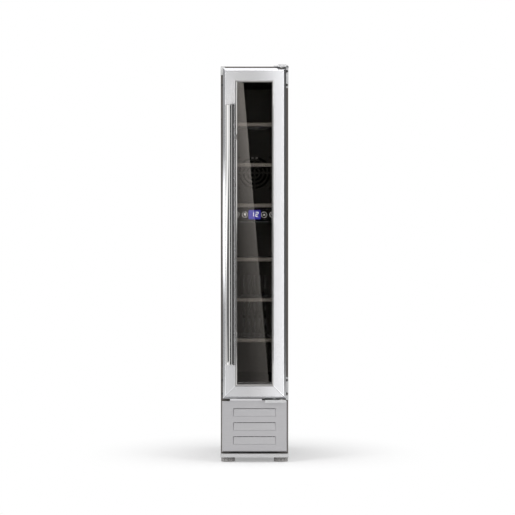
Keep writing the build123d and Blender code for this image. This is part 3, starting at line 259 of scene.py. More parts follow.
# A low lip on the head of the panel, from its left notch to the hinge arm, closes the gap
# under the door. It leans out a little. Its steel is a lighter copy of the panel's, a painted
# highlight along the lip.
LIP_START = -0.0535
LIP_END = 0.0163
LIP_FOOT = 0.0026  # below the panel's head
LIP_RISE = 0.0032
LIP_LEAN = 0.0012
LIP_SHEET = 0.0004
kick_low, kick_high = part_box("kick_panel")
lip_foot = kick_high.z - LIP_FOOT
lip_end = [(LIP_START, kick_low.y - out, lip_foot + up) for out, up in (
    (0, 0), (LIP_SHEET, 0), (LIP_SHEET + LIP_LEAN, LIP_RISE), (LIP_LEAN, LIP_RISE + LIP_SHEET)
)]
bm = bmesh.new()
extruded(bm, lip_end, (LIP_END - LIP_START, 0, 0))
lip_highlight_steel = Finish("lip_highlight_steel", Metallic=1.0)
lip_lines = lip_highlight_steel.effect(brushing, Lines=KICK_LINES)
# painted highlight: the panel's own steel, made lighter
lip_highlight_steel.tone(lip_lines["Tone"], shade(KICK_STEEL, 1.43), shade(KICK_STEEL, 1.63), rough=(0.2, 0.3))
piece("kick_lip", bm, lip_highlight_steel, "cabinet")

# ---------------------------------------------------------------- feet
# Four levelling feet: a notched disc to turn by hand, moulded in grey nylon on a threaded stem.
FOOT_GREY = (0.3, 0.29, 0.285, 1)
foot_nylon = Finish("foot_nylon")
foot_skin = foot_nylon.effect(skin, Grains=1500.0, Clouds=60.0)
foot_nylon.tone(foot_skin["Tone"], shade(FOOT_GREY, 0.8), shade(FOOT_GREY, 1.2), rough=(0.35, 0.5))
foot_nylon.relief(foot_skin["Height"], depth=0.00005)
dress(foot_nylon, "foot_front_left", "foot_front_right", "foot_rear_left", "foot_rear_right")

# ---------------------------------------------------------------- door frame
# Four lengths of brushed stainless profile, mitred at the corners and clipped over a dark moulding.
# The stiles are brushed up and down and the rails from side to side. A mitre is a fine dark seam
# with a painted highlight beside it, for the outer corner of one length catching the light, and a
# painted highlight runs where the face meets the outer bevel, except along the bottom rail.
DOOR_STEEL = (0.7, 0.703, 0.722, 1)
SEAM_WIDTH = 0.0009
SEAM_HIGHLIGHT_WIDTH = 0.0022
OUTER_BEVEL = 0.005
ARRIS_HIGHLIGHT_WIDTH = 0.0016
SEAM_SHADE = 0.35
# how much lighter the frame's painted highlights are than its steel
PAINTED_HIGHLIGHT_LEVEL = 1.3
UPPER_SEAM = 0.25  # how far a seam shows on the upper mitres, which catch less light
# how far the painted highlight beside a seam shows on the upper mitres
UPPER_SEAM_HIGHLIGHT = 0.2
frame_low, frame_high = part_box("door_frame")
frame_middle = (frame_low.z + frame_high.z) / 2
door_steel = Finish("door_steel", Metallic=1.0)
stile_lines = door_steel.effect(brushing, Lines=(2600.0, 2600.0, 26.0))
rail_lines = door_steel.effect(brushing, Lines=(26.0, 2600.0, 2600.0))
spot = door_steel.axes(door_steel.place)
from_side = door_steel.math("SUBTRACT", frame_high.x, door_steel.math("ABSOLUTE", spot["X"]))
off_middle = door_steel.math("ABSOLUTE", door_steel.math("SUBTRACT", spot["Z"], frame_middle))
from_end = door_steel.math("SUBTRACT", frame_high.z - frame_middle, off_middle)
past_seam = door_steel.math("SUBTRACT", from_side, from_end)
on_rail = door_steel.math("GREATER_THAN", past_seam, 0.0)
in_seam = door_steel.math("COMPARE", past_seam, SEAM_WIDTH / 2, SEAM_WIDTH / 2)
# painted highlight: a band beside each seam is made lighter, as if its edge caught the light
seam_highlight = door_steel.math("COMPARE", past_seam, -SEAM_HIGHLIGHT_WIDTH / 2, SEAM_HIGHLIGHT_WIDTH / 2)
below = door_steel.math("LESS_THAN", spot["Z"], frame_middle)
in_seam = door_steel.math("MULTIPLY", in_seam, door_steel.spread(below, UPPER_SEAM, 1.0))
seam_highlight = door_steel.math("MULTIPLY", seam_highlight, door_steel.spread(below, UPPER_SEAM_HIGHLIGHT, 1.0))
from_rim = door_steel.math("MINIMUM", from_side, from_end)
# painted highlight: a lighter line where the face meets the outer bevel, left off the bottom rail
on_arris_highlight = door_steel.math("COMPARE", from_rim, OUTER_BEVEL, ARRIS_HIGHLIGHT_WIDTH / 2)
on_foot = door_steel.math("MULTIPLY", on_rail, below)
on_arris_highlight = door_steel.math("MULTIPLY", on_arris_highlight, door_steel.math("SUBTRACT", 1.0, on_foot))
steel_colour = door_steel.mix(
    on_rail,
    door_steel.mix(stile_lines["Tone"], shade(DOOR_STEEL, 0.9), shade(DOOR_STEEL, 1.11)),
    door_steel.mix(rail_lines["Tone"], shade(DOOR_STEEL, 0.86), shade(DOOR_STEEL, 1.11)),
)
steel_colour = door_steel.mix(on_arris_highlight, steel_colour, shade(DOOR_STEEL, PAINTED_HIGHLIGHT_LEVEL))
steel_colour = door_steel.mix(seam_highlight, steel_colour, shade(DOOR_STEEL, PAINTED_HIGHLIGHT_LEVEL))
door_steel.feed("Base Color", door_steel.mix(in_seam, steel_colour, shade(DOOR_STEEL, SEAM_SHADE)))
door_steel.feed("Roughness", door_steel.spread(stile_lines["Tone"], 0.13, 0.16))
frame_height = door_steel.add("Mix", {0: on_rail, 2: stile_lines["Height"], 3: rail_lines["Height"]})
door_steel.relief(frame_height.outputs[0], depth=0.000003)
dress(door_steel, "door_frame")

# ---------------------------------------------------------------- door moulding and glass
# Behind the steel, a dark ring carries a sealed double pane: smoked glass in front, clear behind,
# and a black bar of desiccant between them. A thin strip of bright steel trims the glass.
SMOKE = (0.42, 0.41, 0.405, 1)
CLEAR = (0.94, 0.95, 0.945, 1)
RING_DARK = (0.02, 0.02, 0.02, 1)
BEAD_STEEL = (0.56, 0.55, 0.54, 1)
BEAD_WIDTH = 0.0037
BEAD_FALL = 0.0011
BEAD_FOLD = 0.0019
BEAD_SUNK = 0.0002
FACE_WIDTH = 0.0272  # of the frame's steel
RETURN_WIDTH = 0.003
GLASS_ROUGH = (0.0, 0.002)
SLIVER = 0.00001  # corners nearer than this are one


def closed_rim(bm, points):
    """A loop of edges through the points, and back to the first."""
    rim = [bm.verts.new(point) for point in points]
    return [bm.edges.new(pair) for pair in zip(rim, rim[1:] + rim[:1])]


def mitred_ring(bm, low, high, section):
    """Runs a closed section of (inward, back) round the upright rectangle from low to high."""
    edges = closed_rim(bm, [
        (low.x + inward, low.y + back, low.z + inward) for inward, back in reversed(section)
    ])
    about_middle = Matrix.Translation(((low.x + high.x) / -2, 0, (low.z + high.z) / -2))
    for flip in ((-1, 1, 1), (1, 1, -1)) * 2:  # from corner to corner, mirrored at each
        grown = bmesh.ops.extrude_edge_only(bm, edges=edges)["geom"]
        corner = [item for item in grown if isinstance(item, bmesh.types.BMVert)]
        edges = [item for item in grown if isinstance(item, bmesh.types.BMEdge)]
        bmesh.ops.scale(bm, verts=corner, vec=flip, space=about_middle)
    bmesh.ops.remove_doubles(bm, verts=bm.verts, dist=SLIVER)


ring_plastic = Finish("ring_plastic")
ring_skin = ring_plastic.effect(skin, Grains=1500.0, Clouds=20.0)
ring_plastic.tone(ring_skin["Tone"], shade(RING_DARK, 0.8), shade(RING_DARK, 1.3), rough=(0.38, 0.5))
ring_plastic.relief(ring_skin["Height"], depth=0.00004)
dress(ring_plastic, "door_liner")

spacer_metal = Finish("spacer_metal", Metallic=1.0)
spacer_lines = spacer_metal.effect(brushing, Lines=(300.0, 300.0, 300.0))
spacer_metal.tone(spacer_lines["Tone"], (0.02, 0.02, 0.02, 1), (0.05, 0.05, 0.05, 1), rough=(0.4, 0.6))
dress(spacer_metal, "glass_spacer")


def pane(name, tint):
    """Float glass that bends what is seen through it, and lets the lamps shine in behind it."""
    glass = Finish(name, Base_Color=tint, IOR=1.52, Transmission_Weight=1.0)
    haze = glass.effect(skin, Grains=60.0, Clouds=12.0)
    glass.feed("Roughness", glass.spread(haze["Tone"], *GLASS_ROUGH))
    one_face = tuple(c ** 0.5 for c in tint)  # a ray passes two faces, and each takes half of the tint
    through = glass.add("BsdfTransparent", {"Color": one_face})
    light_path = glass.add("LightPath").outputs
    glass.surface(glass.add("MixShader", {
        0: light_path["Is Shadow Ray"],
        1: glass.shader.outputs[0],
        2: through.outputs[0],
    }))
    return glass


dress(pane("smoked_glass", SMOKE), "outer_glass")
dress(pane("clear_glass", CLEAR), "inner_glass")

# The bead is a thin folded strip of bright steel. It starts just under the edge of the frame's
# face, dips and rises again over the frame's own return, and turns back to the glass.
glass_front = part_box("outer_glass")[0].y
bead_steel = Finish("bead_steel", Metallic=1.0)
bead_lines = bead_steel.effect(brushing, Lines=(200.0, 200.0, 200.0))
bead_steel.tone(bead_lines["Tone"], shade(BEAD_STEEL, 0.94), shade(BEAD_STEEL, 1.06), rough=(0.16, 0.24))
bead_start = Vector((frame_low.x + FACE_WIDTH, frame_low.y, frame_low.z + FACE_WIDTH))
bead_end = Vector((frame_high.x - FACE_WIDTH, frame_low.y, frame_high.z - FACE_WIDTH))
bead_back = glass_front - frame_low.y - BEAD_SUNK
bm = bmesh.new()
mitred_ring(bm, bead_start, bead_end, [
    (BEAD_SUNK, BEAD_SUNK), (BEAD_FOLD, BEAD_SUNK + BEAD_FALL), (BEAD_WIDTH - BEAD_SUNK, BEAD_SUNK * 2),
    (BEAD_WIDTH, BEAD_SUNK * 3), (BEAD_WIDTH, bead_back), (RETURN_WIDTH + BEAD_SUNK, bead_back),
])
piece("glazing_bead", bm, bead_steel, "door", crease=radians(20))

# ---------------------------------------------------------------- gasket
# A soft black PVC bellows, pushed into a groove at the back of the door. Its bulb holds a magnet
# strip, and two folds let it reach the cabinet. The section is even about its middle.
GASKET_WIDTH = 0.011
gasket_rubber = Finish("gasket_rubber")
gasket_skin = gasket_rubber.effect(skin, Grains=900.0, Clouds=40.0)
gasket_rubber.tone(gasket_skin["Tone"], (0.02, 0.02, 0.02, 1), (0.035, 0.034, 0.033, 1), rough=(0.55, 0.7))
gasket_rubber.relief(gasket_skin["Height"], depth=0.00005)
dress(gasket_rubber, "compressor_mounts", "cord_gland")

gasket_low, gasket_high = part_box("door_gasket")
gasket_depth = gasket_high.y - gasket_low.y
FOLDS = [  # half of the section in millimetres, as (inward, back)
    (0.5, 0.0), (0.3, 0.6), (0.7, 1.1), (2.2, 1.5), (2.2, 2.2), (0.6, 2.8), (0.3, 3.5), (0.7, 4.1),
    (1.9, 4.5), (1.9, 4.9), (0.4, 5.3), (0.0, 6.0), (0.1, 7.1), (0.6, 7.6),
]
folds_depth = FOLDS[-1][1]
outer_half = [(inward / 1000, back / folds_depth * gasket_depth) for inward, back in FOLDS]
inner_half = [(GASKET_WIDTH - inward, back) for inward, back in reversed(outer_half)]
bm = bmesh.new()
mitred_ring(bm, gasket_low, gasket_high, outer_half + inner_half)
bellows = piece("gasket_bellows", bm, gasket_rubber, "door", crease=radians(50))
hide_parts("door_gasket")

# ---------------------------------------------------------------- handle
# A closed stainless tube on two turned posts, polished bright with faint lines along its length.
HANDLE_STEEL = (0.66, 0.655, 0.65, 1)
handle_steel = Finish("handle_steel", Metallic=1.0)
polish_lines = handle_steel.effect(brushing, Lines=(1800.0, 1800.0, 12.0))
handle_steel.tone(
    polish_lines["Tone"], shade(HANDLE_STEEL, 0.93), shade(HANDLE_STEEL, 1.05), rough=(0.02, 0.05)
)
handle_steel.relief(polish_lines["Height"], depth=0.000001)
dress(handle_steel, "handle_bar", "handle_posts")

# ---------------------------------------------------------------- hinges
# Brackets pressed from zinc-plated steel plate, each with a riveted pin that turns in a nylon bush
# in the door. Two black cross-head screws hold each bracket, and on the left, where the hinges go
# when the door is hung the other way, black plugs close the same four holes.
HINGE_STEEL = (0.53, 0.53, 0.535, 1)
SCREW_HEAD_HEIGHT = 0.0018
SCREW_HEAD_RADIUS = 0.003
SCREW_SHANK_RADIUS = 0.002
SCREW_LENGTH = 0.012
SCREW_TAPER = 0.9  # the share of the length that is straight
CROSS_REACH = 0.0018
CROSS_WIDTH = 0.0007
CROSS_DEPTH = 0.0011
SCREW_PITCH = 0.03
PLUG_RADIUS = 0.00255
PLUG_HEIGHT = 0.0008
PLUG_LENGTH = 0.005
PLUG_SHANK_RADIUS = 0.0019
PLUG_TIP_RADIUS = 0.0018
DOME = ((0, 1), (0.5, 0.96), (0.8, 0.78), (0.95, 0.5), (1, 0.2), (1, 0))  # in radii and heights
hinge_plating = Finish("hinge_plating", Metallic=0.9)
plating = hinge_plating.effect(skin, Grains=2200.0, Clouds=70.0)
hinge_plating.tone(plating["Tone"], shade(HINGE_STEEL, 0.9), shade(HINGE_STEEL, 1.1), rough=(0.26, 0.38))
hinge_plating.relief(plating["Height"], depth=0.00002)
dress(hinge_plating, "top_hinge_bracket", "bottom_hinge_bracket")

bush_nylon = Finish("bush_nylon", Subsurface_Weight=0.1)
bush_skin = bush_nylon.effect(skin, Grains=2000.0, Clouds=90.0)
bush_nylon.tone(bush_skin["Tone"], (0.1, 0.1, 0.1, 1), (0.15, 0.15, 0.15, 1), rough=(0.4, 0.5))
dress(bush_nylon, "hinge_bushes")


def lathe(bm, profile, steps=32):
    """Turns a closed profile of (radius, height), from the axis to the axis, about the Z axis."""
    rim = [bm.verts.new((radius, 0, height)) for radius, height in profile]
    edges = [bm.edges.new(pair) for pair in zip(rim, rim[1:])]
    bmesh.ops.spin(
        bm, geom=rim + edges, cent=(0, 0, 0), axis=(0, 0, 1), angle=2 * pi, steps=steps, use_merge=True
    )
    bmesh.ops.remove_doubles(bm, verts=bm.verts, dist=SLIVER)


def prism(bm, outline, low, high):
    """An upright prism on a flat outline of (x, y)."""
    extruded(bm, [(x, y, low) for x, y in outline], (0, 0, high - low))


def carved(body, cutter):
    """The mesh of one form with another cut out of it. Both are used up."""
    parts = []
    for bm in (body, cutter):
        bmesh.ops.recalc_face_normals(bm, faces=bm.faces)
        parts.append(placed("blank", bm))
    cut = parts[0].modifiers.new("cut", "BOOLEAN")
    cut.operation = "DIFFERENCE"
    cut.object = parts[1]
    settled = parts[0].evaluated_get(bpy.context.evaluated_depsgraph_get())
    mesh = bpy.data.meshes.new_from_object(settled)
    for part in parts:
        bpy.data.objects.remove(part)
    bm = bmesh.new()
    bm.from_mesh(mesh)
    bmesh.ops.remove_doubles(bm, verts=bm.verts, dist=SLIVER)
    bmesh.ops.triangulate(bm, faces=bm.faces)
    bm.to_mesh(mesh)
    bm.free()
    return mesh


def repeated(mesh, places):
    """Copies of a mesh at several places, as one form."""
    bm = bmesh.new()
    for place in places:
        copy = mesh.copy()
        copy.transform(place)
        bm.from_mesh(copy)
        bpy.data.meshes.remove(copy)
    return bm


def facing_front(x, y, z):
    """A place whose local Z axis points out of the front."""
    return Matrix.Translation((x, y, z)) @ Matrix.Rotation(pi / 2, 4, "X")


def pan_head(radius, height):
    """The domed half of a profile for a screw or a plug, from the axis down to the rim."""
    return [(radius * out, height * up) for out, up in DOME]


screw = bmesh.new()
lathe(screw, pan_head(SCREW_HEAD_RADIUS, SCREW_HEAD_HEIGHT) + [
    (SCREW_SHANK_RADIUS, 0), (SCREW_SHANK_RADIUS, -SCREW_LENGTH * SCREW_TAPER), (0, -SCREW_LENGTH),
])
half_cut = CROSS_WIDTH / 2
cross_quarter = ((-CROSS_REACH, -half_cut), (-half_cut, -half_cut), (-half_cut, -CROSS_REACH))
cross_outline = [
    (x * across - y * up, x * up + y * across)
    for across, up in ((1, 0), (0, 1), (-1, 0), (0, -1))
    for x, y in cross_quarter
]
cross = bmesh.new()
prism(cross, cross_outline, SCREW_HEAD_HEIGHT - CROSS_DEPTH, SCREW_HEAD_HEIGHT * 2)
cross_screw = carved(screw, cross)

screws_low, screws_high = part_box("hinge_screws")
screw_x = (screws_low.x + screws_high.x) / 2
seat = screws_low.y + SCREW_HEAD_HEIGHT
lowest = screws_low.z + SCREW_HEAD_RADIUS
highest = screws_high.z - SCREW_HEAD_RADIUS
screw_heights = (lowest, lowest + SCREW_PITCH, highest - SCREW_PITCH, highest)
black_oxide = Finish("black_oxide", Metallic=1.0)
oxide = black_oxide.effect(skin, Grains=3000.0, Clouds=300.0)
black_oxide.tone(oxide["Tone"], (0.05, 0.048, 0.045, 1), (0.1, 0.096, 0.09, 1), rough=(0.3, 0.45))
bm = repeated(cross_screw, [facing_front(screw_x, seat, height) for height in screw_heights])
hinge_screws = piece("cross_head_screws", bm, black_oxide, "cabinet")
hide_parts("hinge_screws")

plug = bmesh.new()
lathe(plug, pan_head(PLUG_RADIUS, PLUG_HEIGHT) + [
    (PLUG_SHANK_RADIUS, 0), (PLUG_TIP_RADIUS, -PLUG_LENGTH), (0, -PLUG_LENGTH),
])
plug_mesh = bpy.data.meshes.new("plug")
plug.to_mesh(plug_mesh)
plug.free()
shell_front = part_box("left_side_panel")[0].y
bm = repeated(plug_mesh, [facing_front(-screw_x, shell_front, height) for height in screw_heights])
piece("hole_plugs", bm, ring_plastic, "cabinet")

# ---------------------------------------------------------------- corner cap
# A light grey clip-on cover over the spare hinge place at the top left.
cap_plastic = Finish("cap_plastic")
cap_skin = cap_plastic.effect(skin, Grains=2000.0, Clouds=60.0)
cap_plastic.tone(cap_skin["Tone"], (0.43, 0.43, 0.43, 1), (0.5, 0.5, 0.5, 1), rough=(0.35, 0.45))
cap_plastic.relief(cap_skin["Height"], depth=0.00004)
dress(cap_plastic, "corner_cap", "board_housing")

# ---------------------------------------------------------------- shelves
# Racks of welded steel wire under bright chrome plate, each with a flat steel trim at the front.
# The trims are satin and pick up the warm tone of the dark glass.
TRIM_STEEL = (0.62, 0.565, 0.51, 1)
chrome_wire = Finish("chrome_wire", Metallic=1.0)
wire_skin = chrome_wire.effect(skin, Grains=600.0, Clouds=50.0)
chrome_wire.tone(wire_skin["Tone"], (0.55, 0.55, 0.55, 1), (0.68, 0.68, 0.69, 1), rough=(0.1, 0.24))
shelf_trim = Finish("shelf_trim", Metallic=0.85)
trim_lines = shelf_trim.effect(brushing, Lines=(30.0, 2400.0, 2400.0))
shelf_trim.tone(trim_lines["Tone"], shade(TRIM_STEEL, 0.86), shade(TRIM_STEEL, 1.08), rough=(0.34, 0.48))
for shelf in range(1, 7):
    dress(chrome_wire, f"shelf_rack_{shelf}")
    dress(shelf_trim, f"shelf_trim_{shelf}")

# ---------------------------------------------------------------- duct cover, fan and sensor
# The back wall of the cavity is a moulded cover in dark grey, with a round grille over the fan and
# columns of slots below it. A small sensor with two studs sits above the grille, painted near-white
# as a glint, and four screws in recesses hold the fan behind it.
DUCT_GREY = (0.18, 0.168, 0.158, 1)
FAN_SCREW_PITCH = 0.0715
RECESS_DEPTH = 0.00125
FAN_SCREW_SCALE = 0.9  # of the hinge screws
duct_plastic = Finish("duct_plastic", Specular_IOR_Level=0.4)
duct_skin = duct_plastic.effect(skin, Grains=1300.0, Clouds=16.0)
duct_plastic.tone(duct_skin["Tone"], shade(DUCT_GREY, 0.8), shade(DUCT_GREY, 1.15), rough=(0.42, 0.55))
duct_plastic.relief(duct_skin["Height"], depth=0.00005)
dress(duct_plastic, "duct_cover")

fan_plastic = Finish("fan_plastic")
fan_skin = fan_plastic.effect(skin, Grains=1200.0, Clouds=30.0)
fan_plastic.tone(fan_skin["Tone"], (0.01, 0.01, 0.01, 1), (0.022, 0.022, 0.022, 1), rough=(0.35, 0.5))
dress(fan_plastic, "fan_housing", "fan_rotor", "condenser_fan_housing", "condenser_fan_rotor")
dress(fan_plastic, "control_box")

recess_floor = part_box("duct_cover")[0].y + RECESS_DEPTH
fan_low, fan_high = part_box("fan_housing")
fan_height = (fan_low.z + fan_high.z) / 2
sides = (-FAN_SCREW_PITCH / 2, FAN_SCREW_PITCH / 2)
bm = repeated(cross_screw, [
    facing_front(x, recess_floor, fan_height + z) @ Matrix.Scale(FAN_SCREW_SCALE, 4)
    for x in sides for z in sides
])
piece("fan_screws", bm, black_oxide, "cabinet")

# painted glint: the sensor is near-white, so its studs show as bright dots
painted_glint_studs = Finish("painted_glint_studs", Metallic=0.2, Coat_Weight=0.5)
stud_skin = painted_glint_studs.effect(skin, Grains=900.0, Clouds=200.0)
painted_glint_studs.tone(stud_skin["Tone"], (0.82, 0.8, 0.77, 1), (0.92, 0.9, 0.88, 1), rough=(0.2, 0.35))
dress(painted_glint_studs, "temperature_sensor")

# ---------------------------------------------------------------- cooling system
# Roll-bonded aluminium evaporator behind the duct cover, and under the deck a finned condenser, a
# compressor in glossy black enamel on rubber mounts, and drawn copper lines, dulled by brazing.
roll_bond = Finish("roll_bond", Metallic=1.0)
rolled = roll_bond.effect(brushing, Lines=(900.0, 900.0, 30.0))
roll_bond.tone(rolled["Tone"], (0.62, 0.63, 0.64, 1), (0.78, 0.79, 0.8, 1), rough=(0.3, 0.42))
dress(roll_bond, "evaporator", "condenser_coil")

enamel = Finish("enamel", Coat_Weight=0.4, Coat_Roughness=0.1)
enamel_skin = enamel.effect(skin, Grains=500.0, Clouds=25.0)
enamel.tone(enamel_skin["Tone"], (0.008, 0.008, 0.009, 1), (0.018, 0.018, 0.02, 1), rough=(0.22, 0.34))
enamel.relief(enamel_skin["Height"], depth=0.00012)
dress(enamel, "compressor")

drawn_copper = Finish("drawn_copper", Metallic=1.0)
copper_skin = drawn_copper.effect(skin, Grains=700.0, Clouds=35.0)
drawn_copper.tone(copper_skin["Tone"], (0.42, 0.2, 0.12, 1), (0.8, 0.46, 0.32, 1), rough=(0.2, 0.42))
dress(drawn_copper, "refrigerant_lines")

# ---------------------------------------------------------------- control panel
# A gloss black fascia with a blue-lit display and four round keys. Behind it a housing holds the
# board and a frosted lamp that shines down into the cavity.
FASCIA_BLACK = (0.006, 0.006, 0.006, 1)
fascia_gloss = Finish("fascia_gloss", Coat_Weight=0.5, Coat_Roughness=0.04)
fascia_skin = fascia_gloss.effect(skin, Grains=300.0, Clouds=40.0)
fascia_gloss.tone(fascia_skin["Tone"], shade(FASCIA_BLACK, 0.7), shade(FASCIA_BLACK, 1.4), rough=(0.1, 0.18))
dress(fascia_gloss, "control_fascia", "power_key", "light_key", "up_key", "down_key")

display_blue = Finish("display_blue", Base_Color=(0.01, 0.01, 0.03, 1), Emission_Strength=1.0)
display_glow = display_blue.effect(skin, Grains=400.0, Clouds=90.0)
display_blue.feed(
    "Emission Color", display_blue.mix(display_glow["Tone"], (0.08, 0.07, 0.75, 1), (0.11, 0.1, 0.92, 1))
)
display_blue.feed("Roughness", display_blue.spread(display_glow["Tone"], 0.1, 0.2))
dress(display_blue, "display_window")

lamp_frost = Finish("lamp_frost", Emission_Strength=0.12)
frost = lamp_frost.effect(skin, Grains=800.0, Clouds=60.0)
lamp_frost.tone(frost["Tone"], (0.3, 0.31, 0.32, 1), (0.4, 0.41, 0.42, 1), rough=(0.4, 0.6))
lamp_frost.feed("Emission Color", lamp_frost.mix(frost["Tone"], (0.8, 0.88, 1, 1), (0.9, 0.95, 1, 1)))
dress(lamp_frost, "lamp_lens")

# Digits: the lit bars of a two-digit display, with pointed ends, drawn on the window as 1 and 2.
DIGIT_HEIGHT = 0.0107
DIGITS_RAISED = 0.0008
DIGIT_WIDTH = 0.0068
ONE_MIDDLE = -0.0048  # from the window's middle
TWO_MIDDLE = 0.0051
BAR_WIDTH = 0.0013
BAR_GAP = 0.15  # from a bar's point to the corner, in half widths
PRINT_THICKNESS = 0.00015
display_low, display_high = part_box("display_window")
display_x = (display_low.x + display_high.x) / 2
display_z = (display_low.z + display_high.z) / 2
bar_reach = DIGIT_WIDTH / 2 - BAR_WIDTH / 2
bar_rise = DIGIT_HEIGHT / 2 - BAR_WIDTH / 2
BARS = {
    "top": ((-bar_reach, bar_rise), (bar_reach, bar_rise)),
    "upper_right": ((bar_reach, bar_rise), (bar_reach, 0)),
    "middle": ((-bar_reach, 0), (bar_reach, 0)),
    "lower_right": ((bar_reach, 0), (bar_reach, -bar_rise)),
    "lower_left": ((-bar_reach, 0), (-bar_reach, -bar_rise)),
    "foot": ((-bar_reach, -bar_rise), (bar_reach, -bar_rise)),
}
digits = {
    ONE_MIDDLE: ("upper_right", "lower_right"),
    TWO_MIDDLE: ("top", "upper_right", "middle", "lower_left", "foot"),
}
digit_light = Finish("digit_light", Base_Color=(0.4, 0.4, 0.3, 1), Emission_Strength=3.6)
digit_glow = digit_light.effect(skin, Grains=900.0, Clouds=300.0)
digit_light.feed(
    "Emission Color", digit_light.mix(digit_glow["Tone"], (0.75, 0.76, 0.55, 1), (0.95, 0.95, 0.8, 1))
)
digit_light.feed("Roughness", digit_light.spread(digit_glow["Tone"], 0.3, 0.5))
bm = bmesh.new()
for middle, lit in digits.items():
    for bar in lit:
        start, end = (Vector(corner) + Vector((middle, 0)) for corner in BARS[bar])
        along = (end - start).normalized() * BAR_WIDTH / 2
        side = along.orthogonal()
        start += along * BAR_GAP
        end -= along * BAR_GAP
        prism(bm, [
            start, start + along + side, end - along + side, end, end - along - side, start + along - side
        ], 0, PRINT_THICKNESS)
bm.transform(facing_front(display_x, display_low.y, display_z + DIGITS_RAISED))
piece("display_digits", bm, digit_light, "cabinet")

# Key marks: each cap is printed with a pale ring round a symbol, for power, light, up and down.
MARK_RADIUS = 0.0064
RING_WIDTH = 0.0007
POWER_RADIUS = 0.0031
POWER_LINE = 0.0008
POWER_OPENING = 60  # degrees of the ring left out at the top
POWER_FOOT = 0.0006
POWER_HEAD = 0.0036
BULB_RADIUS = 0.0026
BULB_MIDDLE = 0.0008
BULB_OPENING = 80
BULB_STEPS = 40
NECK_WIDTH = 0.002
NECK_FOOT = -0.0022
SOCKET_FOOT = -0.0036
SOCKET_HEAD = -0.0027
ARROW_WIDTH = 0.0056
ARROW_BASE = -0.0018
ARROW_POINT = 0.0023
# The print's glow is painted light, which makes the printed marks read brighter.
key_print_glow = Finish("key_print_glow", Emission_Strength=1.3)
print_skin = key_print_glow.effect(skin, Grains=1500.0, Clouds=200.0)
key_print_glow.tone(print_skin["Tone"], (0.42, 0.4, 0.38, 1), (0.56, 0.54, 0.51, 1), rough=(0.4, 0.55))
key_print_glow.feed("Emission Color", key_print_glow.mix(print_skin["Tone"], (0.8, 0.77, 0.74, 1), (1, 0.98, 0.95, 1)))


def band(bm, outer, inner, opening=0):
    """A printed ring between two radii, with an opening at the top in degrees."""
    radii = ((inner, 0), (outer, 0), (outer, PRINT_THICKNESS), (inner, PRINT_THICKNESS))
    turn = Matrix.Rotation(radians(90 + opening / 2), 3, "Z")
    points = [turn @ Vector((radius, 0, height)) for radius, height in radii]
    if opening:
        drawn = [bm.faces.new([bm.verts.new(point) for point in points])]
    else:
        drawn = closed_rim(bm, points)
    bmesh.ops.spin(
        bm, geom=drawn, cent=(0, 0, 0), axis=(0, 0, 1), angle=radians(360 - opening), steps=80,
        use_merge=not opening,
    )


def upright(bm, width, foot, head):
    """A printed upright stroke in the middle of a key."""
    half = width / 2
    prism(bm, [(-half, foot), (half, foot), (half, head), (-half, head)], 0, PRINT_THICKNESS)


def power_mark(bm):
    band(bm, POWER_RADIUS, POWER_RADIUS - POWER_LINE, POWER_OPENING)
    upright(bm, POWER_LINE, POWER_FOOT, POWER_HEAD)


def light_mark(bm):
    one_step = (360 - BULB_OPENING) / BULB_STEPS
    turns = [radians(BULB_OPENING / 2 - 90 + step * one_step) for step in range(BULB_STEPS + 1)]
    bulb = [(BULB_RADIUS * cos(turn), BULB_RADIUS * sin(turn) + BULB_MIDDLE) for turn in turns]
    prism(bm, bulb + [(-NECK_WIDTH / 2, NECK_FOOT), (NECK_WIDTH / 2, NECK_FOOT)], 0, PRINT_THICKNESS)
    upright(bm, NECK_WIDTH, SOCKET_FOOT, SOCKET_HEAD)


def up_mark(bm, way=1):
    base = way * ARROW_BASE
    arrow = [(-ARROW_WIDTH / 2, base), (ARROW_WIDTH / 2, base), (0, way * ARROW_POINT)]
    prism(bm, arrow, 0, PRINT_THICKNESS)


def down_mark(bm):
    up_mark(bm, way=-1)


for key, mark in (("power", power_mark), ("light", light_mark), ("up", up_mark), ("down", down_mark)):
    key_low, key_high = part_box(f"{key}_key")
    bm = bmesh.new()
    band(bm, MARK_RADIUS, MARK_RADIUS - RING_WIDTH)
    mark(bm)
    bm.transform(facing_front((key_low.x + key_high.x) / 2, key_low.y, (key_low.z + key_high.z) / 2))
    piece(f"{key}_mark", bm, key_print_glow, f"{key}_key_cap")

# ---------------------------------------------------------------- studio
# A pale floor that fades into a white background, soft lamps in front and overhead, and the camera
# in front of the cooler, a little above its middle.
FLOOR_RADIUS = 3.0
FLOOR_PALE = (0.86, 0.86, 0.87, 1)
FLOOR_PALER = (0.88, 0.88, 0.88, 1)
FADE_SHAPE = (1.0, 0.5, 1.0)  # the fade reaches twice as far to the front and back as to the sides
FADE_START = 0.06
FADE_END = 0.42
FLOOR_LIFT = 0.3  # the share of white right under the cooler
floor_paint = Finish("floor_paint", Roughness=0.9, Specular_IOR_Level=0.1)
floor_skin = floor_paint.effect(skin, Grains=30.0, Clouds=0.6)
floor_paint.feed("Base Color", floor_paint.mix(floor_skin["Tone"], FLOOR_PALE, FLOOR_PALER))
shape = {0: floor_paint.place, 1: FADE_SHAPE}
drawn_in = floor_paint.add("VectorMath", shape, operation="MULTIPLY").outputs[0]
from_middle = floor_paint.add("VectorMath", {0: drawn_in}, operation="LENGTH").outputs["Value"]
fade = floor_paint.spread(
    from_middle, FLOOR_LIFT, 1.0, FADE_START, FADE_END, interpolation_type="SMOOTHSTEP"
)
white = floor_paint.add("Emission", {"Color": (1, 1, 1, 1), "Strength": 1.0})
rays = floor_paint.add("LightPath").outputs
seen = floor_paint.math("MAXIMUM", rays["Is Camera Ray"], rays["Is Glossy Ray"])
seen = floor_paint.math("MAXIMUM", seen, rays["Is Transmission Ray"])
